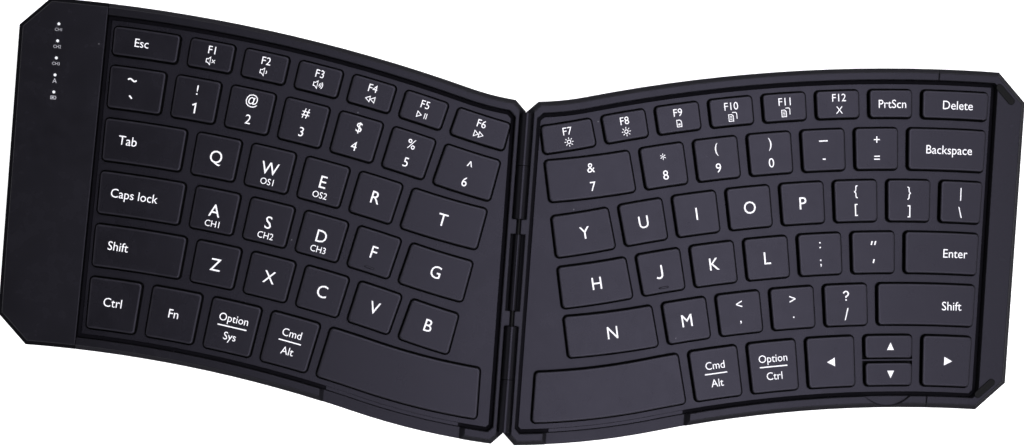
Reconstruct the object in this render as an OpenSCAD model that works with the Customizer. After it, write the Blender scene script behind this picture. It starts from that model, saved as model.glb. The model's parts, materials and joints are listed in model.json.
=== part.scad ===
/* [Case] */
// Distance from the hinge axis to the outer side of each half
half_width = 143.5; // [142:0.5:150]
// Height of the rim's top face above the table
rim_top_z = 8; // [7.9:0.1:9]
// Height of the parting line between the base shells and the rims
parting_z = 4.6; // [4.4:0.1:4.8]
// Thickness of the base shells' floor
floor_t = 1; // [0.9:0.05:1.2]
// Thickness of the base shells' outer walls
wall_t = 1.5; // [1.2:0.1:1.7]
// Width of the rim's top face from the outline to the key well
rim_w = 3.3; // [3.2:0.1:3.6]
// Width of the sloped outer edge of the rim
bevel_w = 1.3; // [0.6:0.1:1.6]
// Height of the sloped outer edge of the rim
bevel_h = 1.6; // [0.8:0.1:2.2]
// Bevel round the underside of the base shells
base_bevel = 0.8; // [0.4:0.1:1.2]
// Distance from the hinge axis to the start of the lowered front edge
low_front_start = 12.3; // [11:0.1:14]
// Distance from the hinge axis to the end of the lowered front edge
low_front_end = 51.5; // [46:0.5:56]
// Length of the ramps at the ends of the lowered front edge
low_front_ramp = 1.6; // [1:0.1:2.4]
// Length of the 45 degree cut on each outer corner
corner_cut = 8.2; // [6:0.2:10]
// Length of the 45 degree cut on each hinge corner
hinge_corner_cut = 3.3; // [2.6:0.1:3.8]
// Radius of the concave sweep that eases the front edge into the hinge
front_sweep_r = 209; // [190:1:240]
// Angle on the key arcs at which the front sweep starts
front_sweep_angle = 15; // [14.5:0.1:15.5]
// Radius of the concave sweep that eases the rear edge into the hinge
rear_sweep_r = 76; // [60:1:100]
// Angle on the key arcs at which the rear sweep starts
rear_sweep_angle = 15.2; // [14.8:0.1:15.6]
// Inset of the case screws from the outline
screw_inset = 1.75; // [1.7:0.05:1.8]

/* [Key layout] */
// Distance from the outer side to the common centre of one half's key arcs
arc_centre_inset = 5.4; // [5:0.1:6]
// Radius of the rear edge of the function row
key_arc_r = 456.8; // [440:1:480]
// Depth of a function key
function_key_d = 7.85; // [7.6:0.05:8.4]
// Depth of a letter or number key
letter_key_d = 11.75; // [11.2:0.05:12.4]
// Depth of a key in the front row
front_key_d = 14.3; // [13.6:0.1:15]
// Gap between neighbouring keys
key_gap = 3.1; // [2.8:0.05:3.4]
// Pitch of the keys along their arc
key_pitch = 15.4; // [15.2:0.05:15.6]
// Pitch of the keys along the front row
front_pitch = 16.7; // [16.4:0.05:17]
// Space between the function row and the rear outline
rear_margin = 6.25; // [6:0.05:7]
// Space between the front row and the front outline
front_margin = 6.35; // [6.1:0.05:7]
// Tilt of the outer side of the left half's outermost keys
left_side_angle = 1.2; // [1.1:0.02:1.3]
// Distance from the arc centre to that side's line
left_side_reach = 11.45; // [11.2:0.05:11.8]
// Tilt of the outer side of the right half's outermost keys
right_side_angle = 0.11; // [0.05:0.01:0.2]
// Distance from the arc centre to that side's line
right_side_reach = 4.65; // [4.5:0.05:5]
// Tilt of the hinge side of the innermost keys
slant_angle = 11.1; // [11:0.1:11.3]
// Distance from the hinge axis to the foot of the slanted line, level with the arc centre
slant_foot_x = 90.13; // [89.9:0.01:90.9]
// Distance from the hinge axis to the space bars
space_bar_x = 7.9; // [7.4:0.1:9]
// Width of the F6 key
f6_key_w = 15.62; // [14.4:0.02:16.4]
// Width of the 6 key
six_key_w = 16.5; // [15.4:0.02:17.6]
// Width of the T key
t_key_w = 22.16; // [21.2:0.02:23.2]
// Width of the G key
g_key_w = 18.56; // [17.6:0.02:19.6]
// Width of the B key
b_key_w = 14.32; // [13.4:0.02:15.2]
// Width of the F7 key
f7_key_w = 14.78; // [14:0.02:15.6]
// Width of the 7 key
seven_key_w = 24.5; // [23.5:0.02:25.5]
// Width of the Y key
y_key_w = 16.66; // [15.8:0.02:17.6]
// Width of the H key
h_key_w = 19.94; // [19:0.02:21]
// Width of the N key
n_key_w = 25.62; // [24.6:0.02:26.6]
// Radius at which the keys beside the hinge bend back from their rows' arcs
inner_bend_r = 250; // [200:5:320]
// Left half: arc distance from the arc centre to the gap beside the space bar
left_front_gap = 85; // [83:0.1:87]
// Right half: arc distance from the arc centre to the gap beside the space bar
right_front_gap = 87.65; // [86.8:0.05:88.5]

/* [Keys] */
// How far the keys stand above the deck at rest
key_rise = 2.1; // [1.9:0.05:2.3]
// Travel of a key
key_travel = 1.5; // [1.2:0.05:1.6]
// Corner radius of a keycap
key_corner_r = 1; // [0.6:0.1:1.4]
// Bevel round a keycap's top
key_bevel = 0.35; // [0.2:0.05:0.5]
// Wall thickness of a keycap
cap_wall = 0.9; // [0.8:0.05:1.1]
// Gap between a keycap and its opening in the deck
key_clearance = 0.45; // [0.35:0.05:0.6]
// Gap between the up and the down arrow keys
arrow_gap = 1.4; // [1.2:0.1:1.8]

/* [Key well] */
// Thickness of the deck round the keys
deck_t = 0.9; // [0.7:0.05:1.1]
// Height of the deck's top face above the parting line
deck_rise = 0.7; // [0.6:0.05:0.8]
// Thickness of the deck's skirt
skirt_t = 1; // [0.8:0.1:1.2]
// Depth of the step round the edge of the deck
deck_step = 0.45; // [0.3:0.05:0.5]
// Gap between the deck and the rim
deck_clearance = 0.15; // [0.1:0.01:0.2]
// Height of the ribs that carry the support plate
rib_h = 0.65; // [0.62:0.01:0.75]
// Thickness of the steel support plate
plate_t = 0.4; // [0.3:0.05:0.45]
// Thickness of the switch membrane
membrane_t = 0.3; // [0.25:0.01:0.35]

/* [Hinge] */
// Height of the hinge axis above the rim's top face
axis_rise = 0.2; // [0.2:0.05:0.4]
// Radius of the hinge knuckles
knuckle_r = 1.75; // [1.6:0.05:1.8]
// Length of one knuckle
knuckle_l = 15.1; // [14.6:0.1:15.4]
// Length of the necks on both sides of the cable slot
neck_l = 4.3; // [4:0.1:5]
// Length of the cable slot
slot_l = 21.8; // [20:0.2:23]
// Radius of the hinge pin
pin_r = 0.45; // [0.4:0.01:0.5]
// Running clearance between the pin and the knuckles
pin_clearance = 0.03; // [0.02:0.005:0.05]
// Clearance between the knuckles and the other half's channel
knuckle_clearance = 0.3; // [0.25:0.01:0.35]
// Radius of the tube over the pin in the cable slot
tube_r = 1; // [0.8:0.05:1.2]
// Thickness of the hinge leaves
leaf_t = 0.55; // [0.45:0.05:0.6]
// Reach of the hinge leaves into each half
leaf_reach = 9; // [7:0.5:11]
// Gap from the hinge plane to each half's inner face
seam_gap = 0.2; // [0.15:0.01:0.3]

/* [Fittings] */
// Height of the rubber feet below the base shells
foot_h = 0.8; // [0.6:0.05:1]
// Length of a rubber foot
foot_l = 15; // [10:0.5:18]
// Width of a rubber foot
foot_w = 4; // [3:0.2:5]
// Radius of a case screw's head
screw_head_r = 1.3; // [1.2:0.05:1.4]
// Radius of a case screw's shank
screw_r = 0.6; // [0.5:0.05:0.65]
// Radius of the status light pipes
light_r = 0.4; // [0.35:0.05:0.6]
// Pitch of the status lights
light_pitch = 4.77; // [4.5:0.01:5]
// Distance from the outer side to the status lights
light_inset = 11; // [10:0.1:12.5]
// Distance from the rear outline to the first status light
light_rear_inset = 7.3; // [7.2:0.1:9]
// Length of the battery cell
battery_l = 56; // [50:0.5:58]
// Width of the battery cell
battery_w = 14.2; // [12:0.1:14.4]
// Thickness of the battery cell
battery_t = 3.4; // [2.8:0.1:4]
// Width of the control board
board_w = 16.4; // [15:0.1:16.6]
// Length of the control board
board_l = 25.5; // [24:0.5:26]
// Width of the charging receptacle
port_w = 8.94; // [8.94:0.01:9.2]
// Height of the charging receptacle
port_h = 3.16; // [3:0.02:3.2]
// Length of the charging receptacle
port_l = 7.3; // [6.5:0.1:8]
// Distance from the middle of the outline to the charging receptacle
port_y = 40; // [36:0.5:43]
// Radius of a closing magnet
magnet_r = 2; // [1.5:0.1:2.3]
// Thickness of a closing magnet
magnet_t = 1.5; // [1:0.1:1.8]
// Distance from the outer side to the closing magnets
magnet_inset = 4.3; // [4:0.1:4.6]
// Length of the rubber bumpers on the end cap
bumper_l = 7; // [6:0.1:7.6]
// Width of the rubber bumpers on the end cap
bumper_w = 1.8; // [1.4:0.1:2.2]
// Reach of the end cap's rear arm from the outer side
end_cap_rear_w = 26; // [24:0.5:30]
// Reach of the end cap's front arm from the outer side
end_cap_front_w = 23; // [21:0.5:26]
// Distance from the outer side to the finger notch
notch_inset = 34.8; // [33.5:0.1:37]
// Width of the finger notch
notch_w = 13; // [10:0.5:14]
// Reach of the finger notch from the key well into the rim
notch_d = 2.7; // [2:0.1:2.9]
// Depth of the finger notch below the rim's top face
notch_depth = 1.5; // [1:0.1:2.4]

/* [Hidden] */
$fn = 48;
arc_fn = 360;
notch_fn = 96;
corner_fn = 20;
slack = 0.05;
fit_gap = 0.1;
joint_gap = 0.15;
part_gap = 0.3;
over = 1;
join_step = 0.006;
split_shift = -0.03;
split_lap = 0.05;

// heights
base_z = foot_h;
floor_z = base_z + floor_t;
plate_z = floor_z + rib_h;
membrane_z = plate_z + plate_t;
switch_z = membrane_z + membrane_t;
deck_z = parting_z + deck_rise;
key_z = deck_z + key_rise;
bottomed_gap = 0.2;
cap_base_z = switch_z + key_travel + bottomed_gap;
cap_roof_z = key_z - cap_wall;
axis_z = rim_top_z + axis_rise;

// key rows, from the rear: function, number, upper, home, lower, front
function row_depth(row) = row == 0 ? function_key_d : row == 5 ? front_key_d : letter_key_d;
function row_outer(row) = row == 0 ? key_arc_r : row_inner(row - 1) - key_gap;
function row_inner(row) = row_outer(row) - row_depth(row);
function row_mid(row) = (row_outer(row) + row_inner(row)) / 2;
function row_pitch(row) = row == 5 ? front_pitch : key_pitch;
// the keys beside the hinge have these widths, and the outermost ones roughly these:
// an outermost key takes up what the pitch leaves, and a row has as many keys as fit
left_inner_widths = [f6_key_w, six_key_w, t_key_w, g_key_w, b_key_w];
right_inner_widths = [f7_key_w, seven_key_w, y_key_w, h_key_w, n_key_w];
left_outer_widths = [17, 14, 22, 23, 25, 15];
right_outer_widths = [19, 22, 12, 21, 28, 14];

// outline of one half: arcs about the key centre that sweep into the hinge
arc_centre_x = half_width - arc_centre_inset;
slant_reach = (arc_centre_x - slant_foot_x) * cos(slant_angle);
rear_r = key_arc_r + rear_margin;
front_r = row_inner(5) - front_margin;
rear_sweep_hub = rear_r + rear_sweep_r;
front_sweep_hub = front_r + front_sweep_r;
function hub_x(hub, angle) = -arc_centre_x + hub * sin(angle);
function hub_y(hub, angle) = hub * cos(angle);
function circle_y(r, x) = sqrt(r * r - x * x);
function raw_rear_y(inset, x) = x < hub_x(rear_r - inset, rear_sweep_angle)
    ? circle_y(rear_r - inset, x + arc_centre_x)
    : hub_y(rear_sweep_hub, rear_sweep_angle)
      - circle_y(rear_sweep_r + inset, x - hub_x(rear_sweep_hub, rear_sweep_angle));
function raw_front_y(inset, x) = x < hub_x(front_r + inset, front_sweep_angle)
    ? circle_y(front_r + inset, x + arc_centre_x)
    : hub_y(front_sweep_hub, front_sweep_angle)
      - circle_y(front_sweep_r - inset, x - hub_x(front_sweep_hub, front_sweep_angle));
// the middle of the outline lies at y = 0
y_shift = -(raw_rear_y(0, corner_cut - half_width) + raw_front_y(0, -hinge_corner_cut)) / 2;
function rear_y(inset, x) = raw_rear_y(inset, x) + y_shift;
function front_y(inset, x) = raw_front_y(inset, x) + y_shift;

// an edge is [tilt, reach]: a straight line tilted from the y axis that passes
// the arc centre at the distance reach; reach 0 gives a radial line
function radial_edge(row, distance) = [distance / row_mid(row) * 180 / PI, 0];
function edge_angle(edge, r) = edge[0] + asin(edge[1] / r);
function arc_point(r, angle) = [hub_x(r, angle), hub_y(r, angle) + y_shift];
slanted_edge = [slant_angle, slant_reach];
space_edge = [0, arc_centre_x - space_bar_x];
function outer_side(side) = side == "left" ? [left_side_angle, left_side_reach]
    : [right_side_angle, right_side_reach];
function arc_length(row, angle) = angle * PI / 180 * row_mid(row);
function inner_width(side, row) = side == "left" ? left_inner_widths[row] : right_inner_widths[row];
function outer_width(side, row) = side == "left" ? left_outer_widths[row] : right_outer_widths[row];
// arc distance from the arc centre to the gap beside the innermost key
function last_gap(side, row) = row == 5 ? (side == "left" ? left_front_gap : right_front_gap)
    : arc_length(row, edge_angle(slanted_edge, row_mid(row))) - inner_width(side, row) - key_gap / 2;
function row_count(side, row) = 2 + round((last_gap(side, row) - key_gap / 2
    - arc_length(row, edge_angle(outer_side(side), row_mid(row))) - outer_width(side, row))
    / row_pitch(row));
function gap_mark(side, row, i) = last_gap(side, row) - (row_count(side, row) - 2 - i) * row_pitch(row);
// key i of a row counts from the outer side; a key is [row, outer edge, inner edge]
function key_at(side, row, i) = [row,
    i == 0 ? outer_side(side) : radial_edge(row, gap_mark(side, row, i - 1) + key_gap / 2),
    i == row_count(side, row) - 1 ? (row == 5 ? space_edge : slanted_edge)
        : radial_edge(row, gap_mark(side, row, i) - key_gap / 2)];
function is_space(key) = key[2] == space_edge;
function is_bent(key) = key[2] == slanted_edge;
// a bent key turns about a hub at its outer edge's angle, up to its slanted edge
function bend_hub(key) = row_mid(key[0]) + inner_bend_r;
function bend_turn(key, r) = let (q = bend_hub(key) - r, a = key[1][0] - slant_angle)
    a - asin((bend_hub(key) * sin(a) - slant_reach) / q);
function bend_point(key, r, turn) = let (q = bend_hub(key) - r, a = key[1][0])
    arc_point(bend_hub(key), a) - q * [sin(a - turn), cos(a - turn)];
function bend_run(key, r, from_turn, to_turn, steps) =
    [for (i = [0:steps]) bend_point(key, r, from_turn + (to_turn - from_turn) * i / steps)];
function arc_run(r, from_angle, to_angle, steps) =
    [for (i = [0:steps]) arc_point(r, from_angle + (to_angle - from_angle) * i / steps)];
function sweep_run(inset, from_x, to_x, steps) =
    [for (i = [0:steps]) let (x = from_x + (to_x - from_x) * i / steps) [x, front_y(inset, x)]];
function key_steps(key) = is_space(key) ? 12 : ceil(key_width(key) / 7);
space_front_inset = front_margin;
space_rear_inset = front_margin + front_key_d;
function key_outline(key) = let (r1 = row_outer(key[0]), r0 = row_inner(key[0]), n = key_steps(key))
    is_space(key)
    ? concat(sweep_run(space_rear_inset, arc_point(r1, key[1][0])[0], -space_bar_x, n),
             sweep_run(space_front_inset, -space_bar_x, arc_point(r0, key[1][0])[0], n))
    : is_bent(key)
    ? concat(bend_run(key, r1, 0, bend_turn(key, r1), n), bend_run(key, r0, bend_turn(key, r0), 0, n))
    : concat(arc_run(r1, edge_angle(key[1], r1), edge_angle(key[2], r1), n),
             arc_run(r0, edge_angle(key[2], r0), edge_angle(key[1], r0), n));
function key_angle(key) = let (r = row_mid(key[0]))
    is_bent(key) ? key[1][0] - bend_turn(key, r) / 2 : (edge_angle(key[1], r) + edge_angle(key[2], r)) / 2;
function key_centre(key) = let (a = key_angle(key), r = row_mid(key[0]))
    is_space(key)
    ? let (x = arc_point(r, a)[0]) [x, front_y((space_front_inset + space_rear_inset) / 2, x)]
    : is_bent(key) ? bend_point(key, r, bend_turn(key, r) / 2) : arc_point(r, a);
function key_width(key) = let (r = row_mid(key[0]))
    arc_length(key[0], edge_angle(key[2], r) - edge_angle(key[1], r));
function key_turn(key) = is_space(key) ? -space_turn : -key_angle(key);
space_turn = 10.5;

// well of the keys
function well_edge(side) = side == "left" ? [1.4, 7.65] : [0.45, -0.3];
hinge_wall_t = 1.05;
well_hinge_x = knuckle_r + knuckle_clearance + hinge_wall_t;
deck_inset = rim_w + deck_clearance;
skirt_inset = deck_inset + skirt_t;
plate_inset = skirt_inset + 2 * fit_gap;

// ---------- frames ----------
module half(side) {
    if (side == "left") children();
    else mirror([1, 0, 0]) children();
}
module at_arc_centre() translate([-arc_centre_x, y_shift, 0]) children();
// x = 0 on the edge, +x towards the hinge, y along the edge from the arc centre
module at_edge(edge) at_arc_centre() rotate(-edge[0]) translate([edge[1], 0, 0]) children();
module at_hub(hub, angle) translate([hub_x(hub, angle), hub_y(hub, angle) + y_shift, 0]) children();
// everything on one side of a radial line: sign 1 is the side of the hinge
module sector(angle, sign, z0, z1) {
    far = 2 * half_width;
    at_edge([angle, 0]) block(sign > 0 ? 0 : -far, sign > 0 ? far : 0, 0, 2 * key_arc_r, z0, z1);
}
module at_key(key) translate(concat(key_centre(key), 0)) rotate(key_turn(key)) children();
module block(x0, x1, y0, y1, z0, z1) translate([x0, y0, z0]) cube([x1 - x0, y1 - y0, z1 - z0]);
module rounded_bar(l, w, z0, z1) {
    for (s = [-1, 1]) translate([s * (l - w) / 2, 0, z0]) cylinder(r = w / 2, h = z1 - z0);
    block(-(l - w) / 2, (l - w) / 2, -w / 2, w / 2, z0, z1);
}

// ---------- the body of one half ----------
// a profile without repeated points, where a bevel of none would leave two
function distinct(points) = [for (i = [0:len(points) - 1])
    if (points[i] != points[(i + 1) % len(points)]) points[i]];
// a disc and a hole with bevels [width, height] on their lower and upper edges
module bevelled_disc(r, z0, z1, low, high) {
    rotate_extrude($fn = arc_fn) polygon(distinct([[0, z0], [r - low[0], z0], [r, z0 + low[1]],
        [r, z1 - high[1]], [r - high[0], z1], [0, z1]]));
}
module flared_hole(r, z0, z1, low, high) {
    rotate_extrude($fn = arc_fn) polygon(distinct([[0, z0 - over], [r + low[0], z0 - over],
        [r + low[0], z0], [r, z0 + low[1]], [r, z1 - high[1]], [r + high[0], z1],
        [r + high[0], z1 + over], [0, z1 + over]]));
}
module side_block(x_out, x_in, z0, z1, low, high) {
    translate([0, half_width, 0]) rotate([90, 0, 0]) linear_extrude(2 * half_width)
        polygon(distinct([[x_in, z0], [x_in, z1], [x_out + high[0], z1], [x_out, z1 - high[1]],
            [x_out, z0 + low[1]], [x_out + low[0], z0]]));
}
// what a cut corner takes away: everything outside a sloped side through the point
module corner_cutter(x, y, angle, inset, z0, z1, low, high) {
    low_z = z0 + low[1] + (low == none ? 0 : corner_step);
    high_z = z1 - high[1] - (high == none ? 0 : corner_step);
    translate([x, y, 0]) rotate(angle) translate([0, half_width / 2, 0]) rotate([90, 0, 0])
        linear_extrude(half_width) polygon(distinct([[-half_width / 4, z0 - over],
            [inset + low[0], z0 - over], [inset + low[0], z0], [inset, low_z],
            [inset, high_z], [inset + high[0], z1], [inset + high[0], z1 + over],
            [-half_width / 4, z1 + over]]));
}
// the corners' bevels start this much earlier than those along the sides
corner_step = 0.04;
none = [0, 0];
// one half between two heights, inset from its outline
module half_body(inset, hinge_x, z0, z1, low = none, high = none) {
    difference() {
        uncut_half_body(inset, hinge_x, z0, z1, low, high);
        corner_cutter(-half_width, rear_y(0, corner_cut - half_width) - corner_cut, -45,
            inset, z0, z1, low, high);
        corner_cutter(-half_width, front_y(0, corner_cut - half_width) + corner_cut, 45,
            inset, z0, z1, low, high);
        rotate(180) corner_cutter(0, -rear_y(0, -hinge_corner_cut) + hinge_corner_cut, 45,
            inset, z0, z1, low, high);
        rotate(180) corner_cutter(0, -front_y(0, -hinge_corner_cut) - hinge_corner_cut, -45,
            inset, z0, z1, low, high);
    }
}
module uncut_half_body(inset, hinge_x, z0, z1, low, high) {
    // the joins of nested bodies lie side by side, not on one another
    rear_split = rear_sweep_angle + split_shift * inset;
    front_split = front_sweep_angle + split_shift * inset;
    intersection() {
        union() {
            intersection() {
                at_arc_centre() bevelled_disc(rear_r - inset, z0, z1, low, high);
                sector(rear_split, -1, z0 - over, z1 + over);
            }
            difference() {
                sector(rear_split, 1, z0, z1);
                at_hub(rear_sweep_hub, rear_sweep_angle)
                    flared_hole(rear_sweep_r + inset + join_step, z0, z1, low, high);
            }
        }
        union() {
            difference() {
                sector(front_split, -1, z0, z1);
                at_arc_centre() flared_hole(front_r + inset, z0, z1, low, high);
            }
            intersection() {
                at_hub(front_sweep_hub, front_sweep_angle)
                    bevelled_disc(front_sweep_r - inset - join_step, z0, z1, low, high);
                sector(front_split, 1, z0 - over, z1 + over);
            }
        }
        side_block(inset - half_width, -hinge_x, z0, z1, low, high);
    }
}
// the part of one half inside the well's outer side
module inside_well(side, edge_inset, z0, z1) {
    intersection() {
        children();
        at_edge(well_edge(side))
            block(edge_inset, 2 * half_width, 0, 2 * key_arc_r, z0 - over, z1 + over);
    }
}
module well_block(side, inset, z0, z1) {
    edge_inset = inset - rim_w;
    inside_well(side, edge_inset, z0, z1)
        half_body(inset, well_hinge_x + edge_inset, z0, z1);
}

// ---------- keys ----------
module key_plan(key, grow = 0) {
    offset(r = key_corner_r + grow, $fn = corner_fn) offset(delta = -key_corner_r) polygon(key_outline(key));
}
// ring with bevelled top edges; a wall stands this far clear of the cap's own
module bevel_ring(r0, r1, clear0 = over, clear1 = over) {
    rotate_extrude($fn = arc_fn) polygon([
        [r0 - clear0, cap_base_z - over], [r0 - clear0, key_z - key_bevel - clear0],
        [r0 + key_bevel, key_z], [r1 - key_bevel, key_z],
        [r1 + clear1, key_z - key_bevel - clear1], [r1 + clear1, cap_base_z - over]]);
}
module cap_body(key) {
    z0 = cap_base_z - 2 * over;
    z1 = key_z + over;
    if (is_space(key)) {
        intersection() {
            cap_prism(key);
            at_arc_centre() bevel_ring(row_inner(5), row_outer(5));
            sector(front_sweep_angle, -1, z0, z1);
        }
        intersection() {
            cap_prism(key);
            at_hub(front_sweep_hub, front_sweep_angle)
                bevel_ring(front_sweep_r - space_rear_inset + join_step,
                    front_sweep_r - space_front_inset - join_step);
            sector(front_sweep_angle - split_lap, 1, z0, z1);
        }
    } else intersection() {
        cap_prism(key);
        if (is_bent(key)) {
            at_hub(bend_hub(key), key[1][0])
                bevel_ring(bend_hub(key) - row_outer(key[0]), bend_hub(key) - row_inner(key[0]));
        } else at_arc_centre() bevel_ring(row_inner(key[0]), row_outer(key[0]));
    }
}
module cap_prism(key) {
    translate([0, 0, cap_base_z]) linear_extrude(key_z - cap_base_z) key_plan(key);
}
// cuts the bevel along one side of a cap, which lies at +x of the edge for sign 1
module side_bevel(key, edge, sign) {
    r1 = row_outer(key[0]) + 2 * over;
    r0 = row_inner(key[0]) - 2 * over;
    corner = key_bevel + 2 * over;
    at_edge(edge) translate([0, r1, 0]) rotate([90, 0, 0])
        linear_extrude(r1 - r0 * cos(edge_angle(edge, r0) - edge[0])) polygon([
            [-sign * 2 * over, key_z - key_bevel - 2 * over], [sign * corner, key_z + 2 * over],
            [-sign * 2 * over, key_z + 2 * over]]);
}
module keycap(key) {
    difference() {
        cap_body(key);
        side_bevel(key, key[1], 1);
        side_bevel(key, key[2], -1);
        translate([0, 0, cap_base_z - over]) linear_extrude(cap_roof_z - cap_base_z + over)
            offset(delta = -cap_wall) polygon(key_outline(key));
    }
}
// the up and down arrows share one cell of the front row; sign 1 is the rear one
arrow_cell = key_at("right", 5, 1);
arrow_d = (front_key_d - arrow_gap) / 2;
module at_arrow(sign) at_key(arrow_cell) translate([0, sign * (arrow_d + arrow_gap) / 2, 0]) children();
module arrow_cap(sign) {
    key = arrow_cell;
    cut_r = row_mid(key[0]) + sign * arrow_gap / 2;
    hollow = [key_width(key) / 2 - cap_wall, arrow_d / 2 - cap_wall];
    difference() {
        intersection() {
            cap_prism(key);
            at_arc_centre() {
                if (sign > 0) bevel_ring(cut_r, row_outer(key[0]), 0, over);
                else bevel_ring(row_inner(key[0]), cut_r, over, 0);
            }
        }
        side_bevel(key, key[1], 1);
        side_bevel(key, key[2], -1);
        at_arrow(sign) block(-hollow[0], hollow[0], -hollow[1], hollow[1], cap_base_z - over, cap_roof_z);
    }
}
home_bar = [3, 0.6, 0.2];
home_bar_inset = 1.05;
module home_key_bar(key) {
    y0 = home_bar_inset - letter_key_d / 2;
    at_key(key) block(-home_bar[0] / 2, home_bar[0] / 2, y0, y0 + home_bar[1],
        key_z - slack, key_z + home_bar[2]);
}
// the caps of a row from the first one to the hinge; the home key is the last but one
module row_caps(side, row, first, home = false) {
    color("#26252b") half(side) {
        for (i = [first:row_count(side, row) - 1]) keycap(key_at(side, row, i));
        if (home) home_key_bar(key_at(side, row, row_count(side, row) - 2));
    }
}
module single_cap(side, row, i) color("#26252b") half(side) keycap(key_at(side, row, i));

// ---------- switches ----------
function all_keys(side) = [for (row = [0:5], i = [0:row_count(side, row) - 1]) key_at(side, row, i)];
function is_arrow_cell(side, key) = side == "right" && key == arrow_cell;
switch_room = 2.6;
link_l = 8.6;
link_bar = 0.5;
link_play = 0.3;
link_max_w = 7.8;
function link_w(depth) = min(link_max_w, depth - switch_room);
function link_rail(depth) = link_w(depth) / 10;
function inner_link_w(depth) = link_w(depth) - 2 * link_rail(depth) - link_play;
// two frames crossed like an X, on a pivot at each side
module scissor(depth) {
    w = link_w(depth);
    rail = link_rail(depth);
    tilt = asin((cap_roof_z - switch_z - link_bar) / link_l);
    translate([0, 0, (cap_roof_z + switch_z) / 2]) {
        rotate([0, tilt, 0]) link_frame(w, rail);
        rotate([0, -tilt, 0]) link_frame(inner_link_w(depth), rail);
        for (s = [-1, 1]) translate([0, s * (w - rail) / 2, 0]) rotate([90, 0, 0])
            cylinder(r = link_bar / 2, h = 2 * rail + link_play, center = true);
    }
}
module link_frame(w, rail) difference() {
    cube([link_l - link_bar, w, link_bar], center = true);
    cube([link_l - 4 * link_bar, w - 2 * rail, 2 * link_bar], center = true);
}
dome_foot_t = 0.3;
dome_neck_h = 1.2;
dome_play = 0.1;
// a foot, a soft flank and a straight neck, inside the inner link
module dome(depth) {
    r = (inner_link_w(depth) - 2 * link_rail(depth)) / 2 - dome_play;
    neck_r = 0.6 * r;
    rotate_extrude() polygon([[0, switch_z], [r, switch_z], [r, switch_z + dome_foot_t],
        [(r + neck_r) / 2, switch_z + 2 * dome_foot_t], [neck_r, cap_roof_z - dome_neck_h],
        [neck_r, cap_roof_z - slack], [0, cap_roof_z - slack]]);
}
space_link_x = 12;
// the places where a key's links and domes stand, in the key's own frame
function link_places(key) = is_space(key) ? [-space_link_x, space_link_x] : [0];
module switch_sites(side) {
    half(side) for (key = all_keys(side)) {
        at_key(key) {
            if (is_arrow_cell(side, key)) {
                $depth = arrow_d;
                for (s = [-1, 1]) translate([0, s * ($depth + arrow_gap) / 2, 0]) children();
            } else {
                $depth = row_depth(key[0]);
                for (x = link_places(key)) translate([x, 0, 0]) children();
            }
        }
    }
}
module rubber_domes(side) color("#b9b7ad") switch_sites(side) dome($depth);
module scissor_links(side) color("#d9d8d2") switch_sites(side) scissor($depth);

// ---------- hinge ----------
leaf_gap = 0.5;
tab_t = 1.15;
hinge_l = 4 * knuckle_l + 2 * neck_l + slot_l;
hinge_mid_y = (rear_y(0, -hinge_corner_cut) + front_y(0, -hinge_corner_cut)) / 2;
hinge_rear_y = hinge_mid_y + hinge_l / 2;
knuckle_front_ys = [hinge_rear_y - knuckle_l, hinge_rear_y - 2 * knuckle_l,
                    hinge_mid_y - slot_l / 2 - neck_l - knuckle_l,
                    hinge_mid_y - slot_l / 2 - neck_l - 2 * knuckle_l];
// the outer knuckles belong to the right half and the inner ones to the left
function knuckles(side) = side == "left" ? [1, 2] : [0, 3];
module along_y(y0, y1) translate([0, y1, 0]) rotate([90, 0, 0]) linear_extrude(y1 - y0) children();
tab_x1 = -leaf_gap;
tab_x0 = tab_x1 - tab_t;
module leaf_profile(grow = 0) {
    translate([tab_x0 - grow, floor_z]) square([tab_x1 - tab_x0 + 2 * grow, axis_z - floor_z]);
    translate([-leaf_reach - grow, floor_z]) square([leaf_reach + tab_x1 + 2 * grow, leaf_t + grow]);
}
module knuckle(front_y) {
    y0 = front_y + joint_gap / 2;
    y1 = front_y + knuckle_l - joint_gap / 2;
    difference() {
        union() {
            along_y(y0, y1) leaf_profile();
            translate([0, y1, axis_z]) rotate([90, 0, 0]) cylinder(r = knuckle_r, h = y1 - y0);
        }
        translate([0, y1 + over, axis_z]) rotate([90, 0, 0])
            cylinder(r = pin_r + pin_clearance, h = y1 - y0 + 2 * over);
        for (y = leaf_screw_ys(front_y)) translate([leaf_screw_x, y, floor_z - over])
            cylinder(r = screw_r + slack, h = leaf_t + 2 * over);
    }
}
leaf_screw_x = -6;
function leaf_screw_ys(front_y) = [front_y + knuckle_l / 4, front_y + 3 * knuckle_l / 4];
module cable_tube() {
    translate([0, hinge_mid_y + slot_l / 2 - joint_gap, axis_z]) rotate([90, 0, 0]) difference() {
        cylinder(r = tube_r, h = slot_l - 2 * joint_gap);
        translate([0, 0, -over]) cylinder(r = pin_r + pin_clearance, h = slot_l + 2 * over);
    }
}
module hinge_knuckles(side) {
    color("#3a3940") {
        half(side) for (k = knuckles(side)) knuckle(knuckle_front_ys[k]);
        if (side == "left") cable_tube();
    }
}
module left_hinge_knuckles() hinge_knuckles("left");
module right_hinge_knuckles() hinge_knuckles("right");
module hinge_pin() {
    color("silver") translate([0, hinge_mid_y + hinge_l / 2 - joint_gap, axis_z]) rotate([90, 0, 0])
        cylinder(r = pin_r, h = hinge_l - 2 * joint_gap);
}
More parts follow.
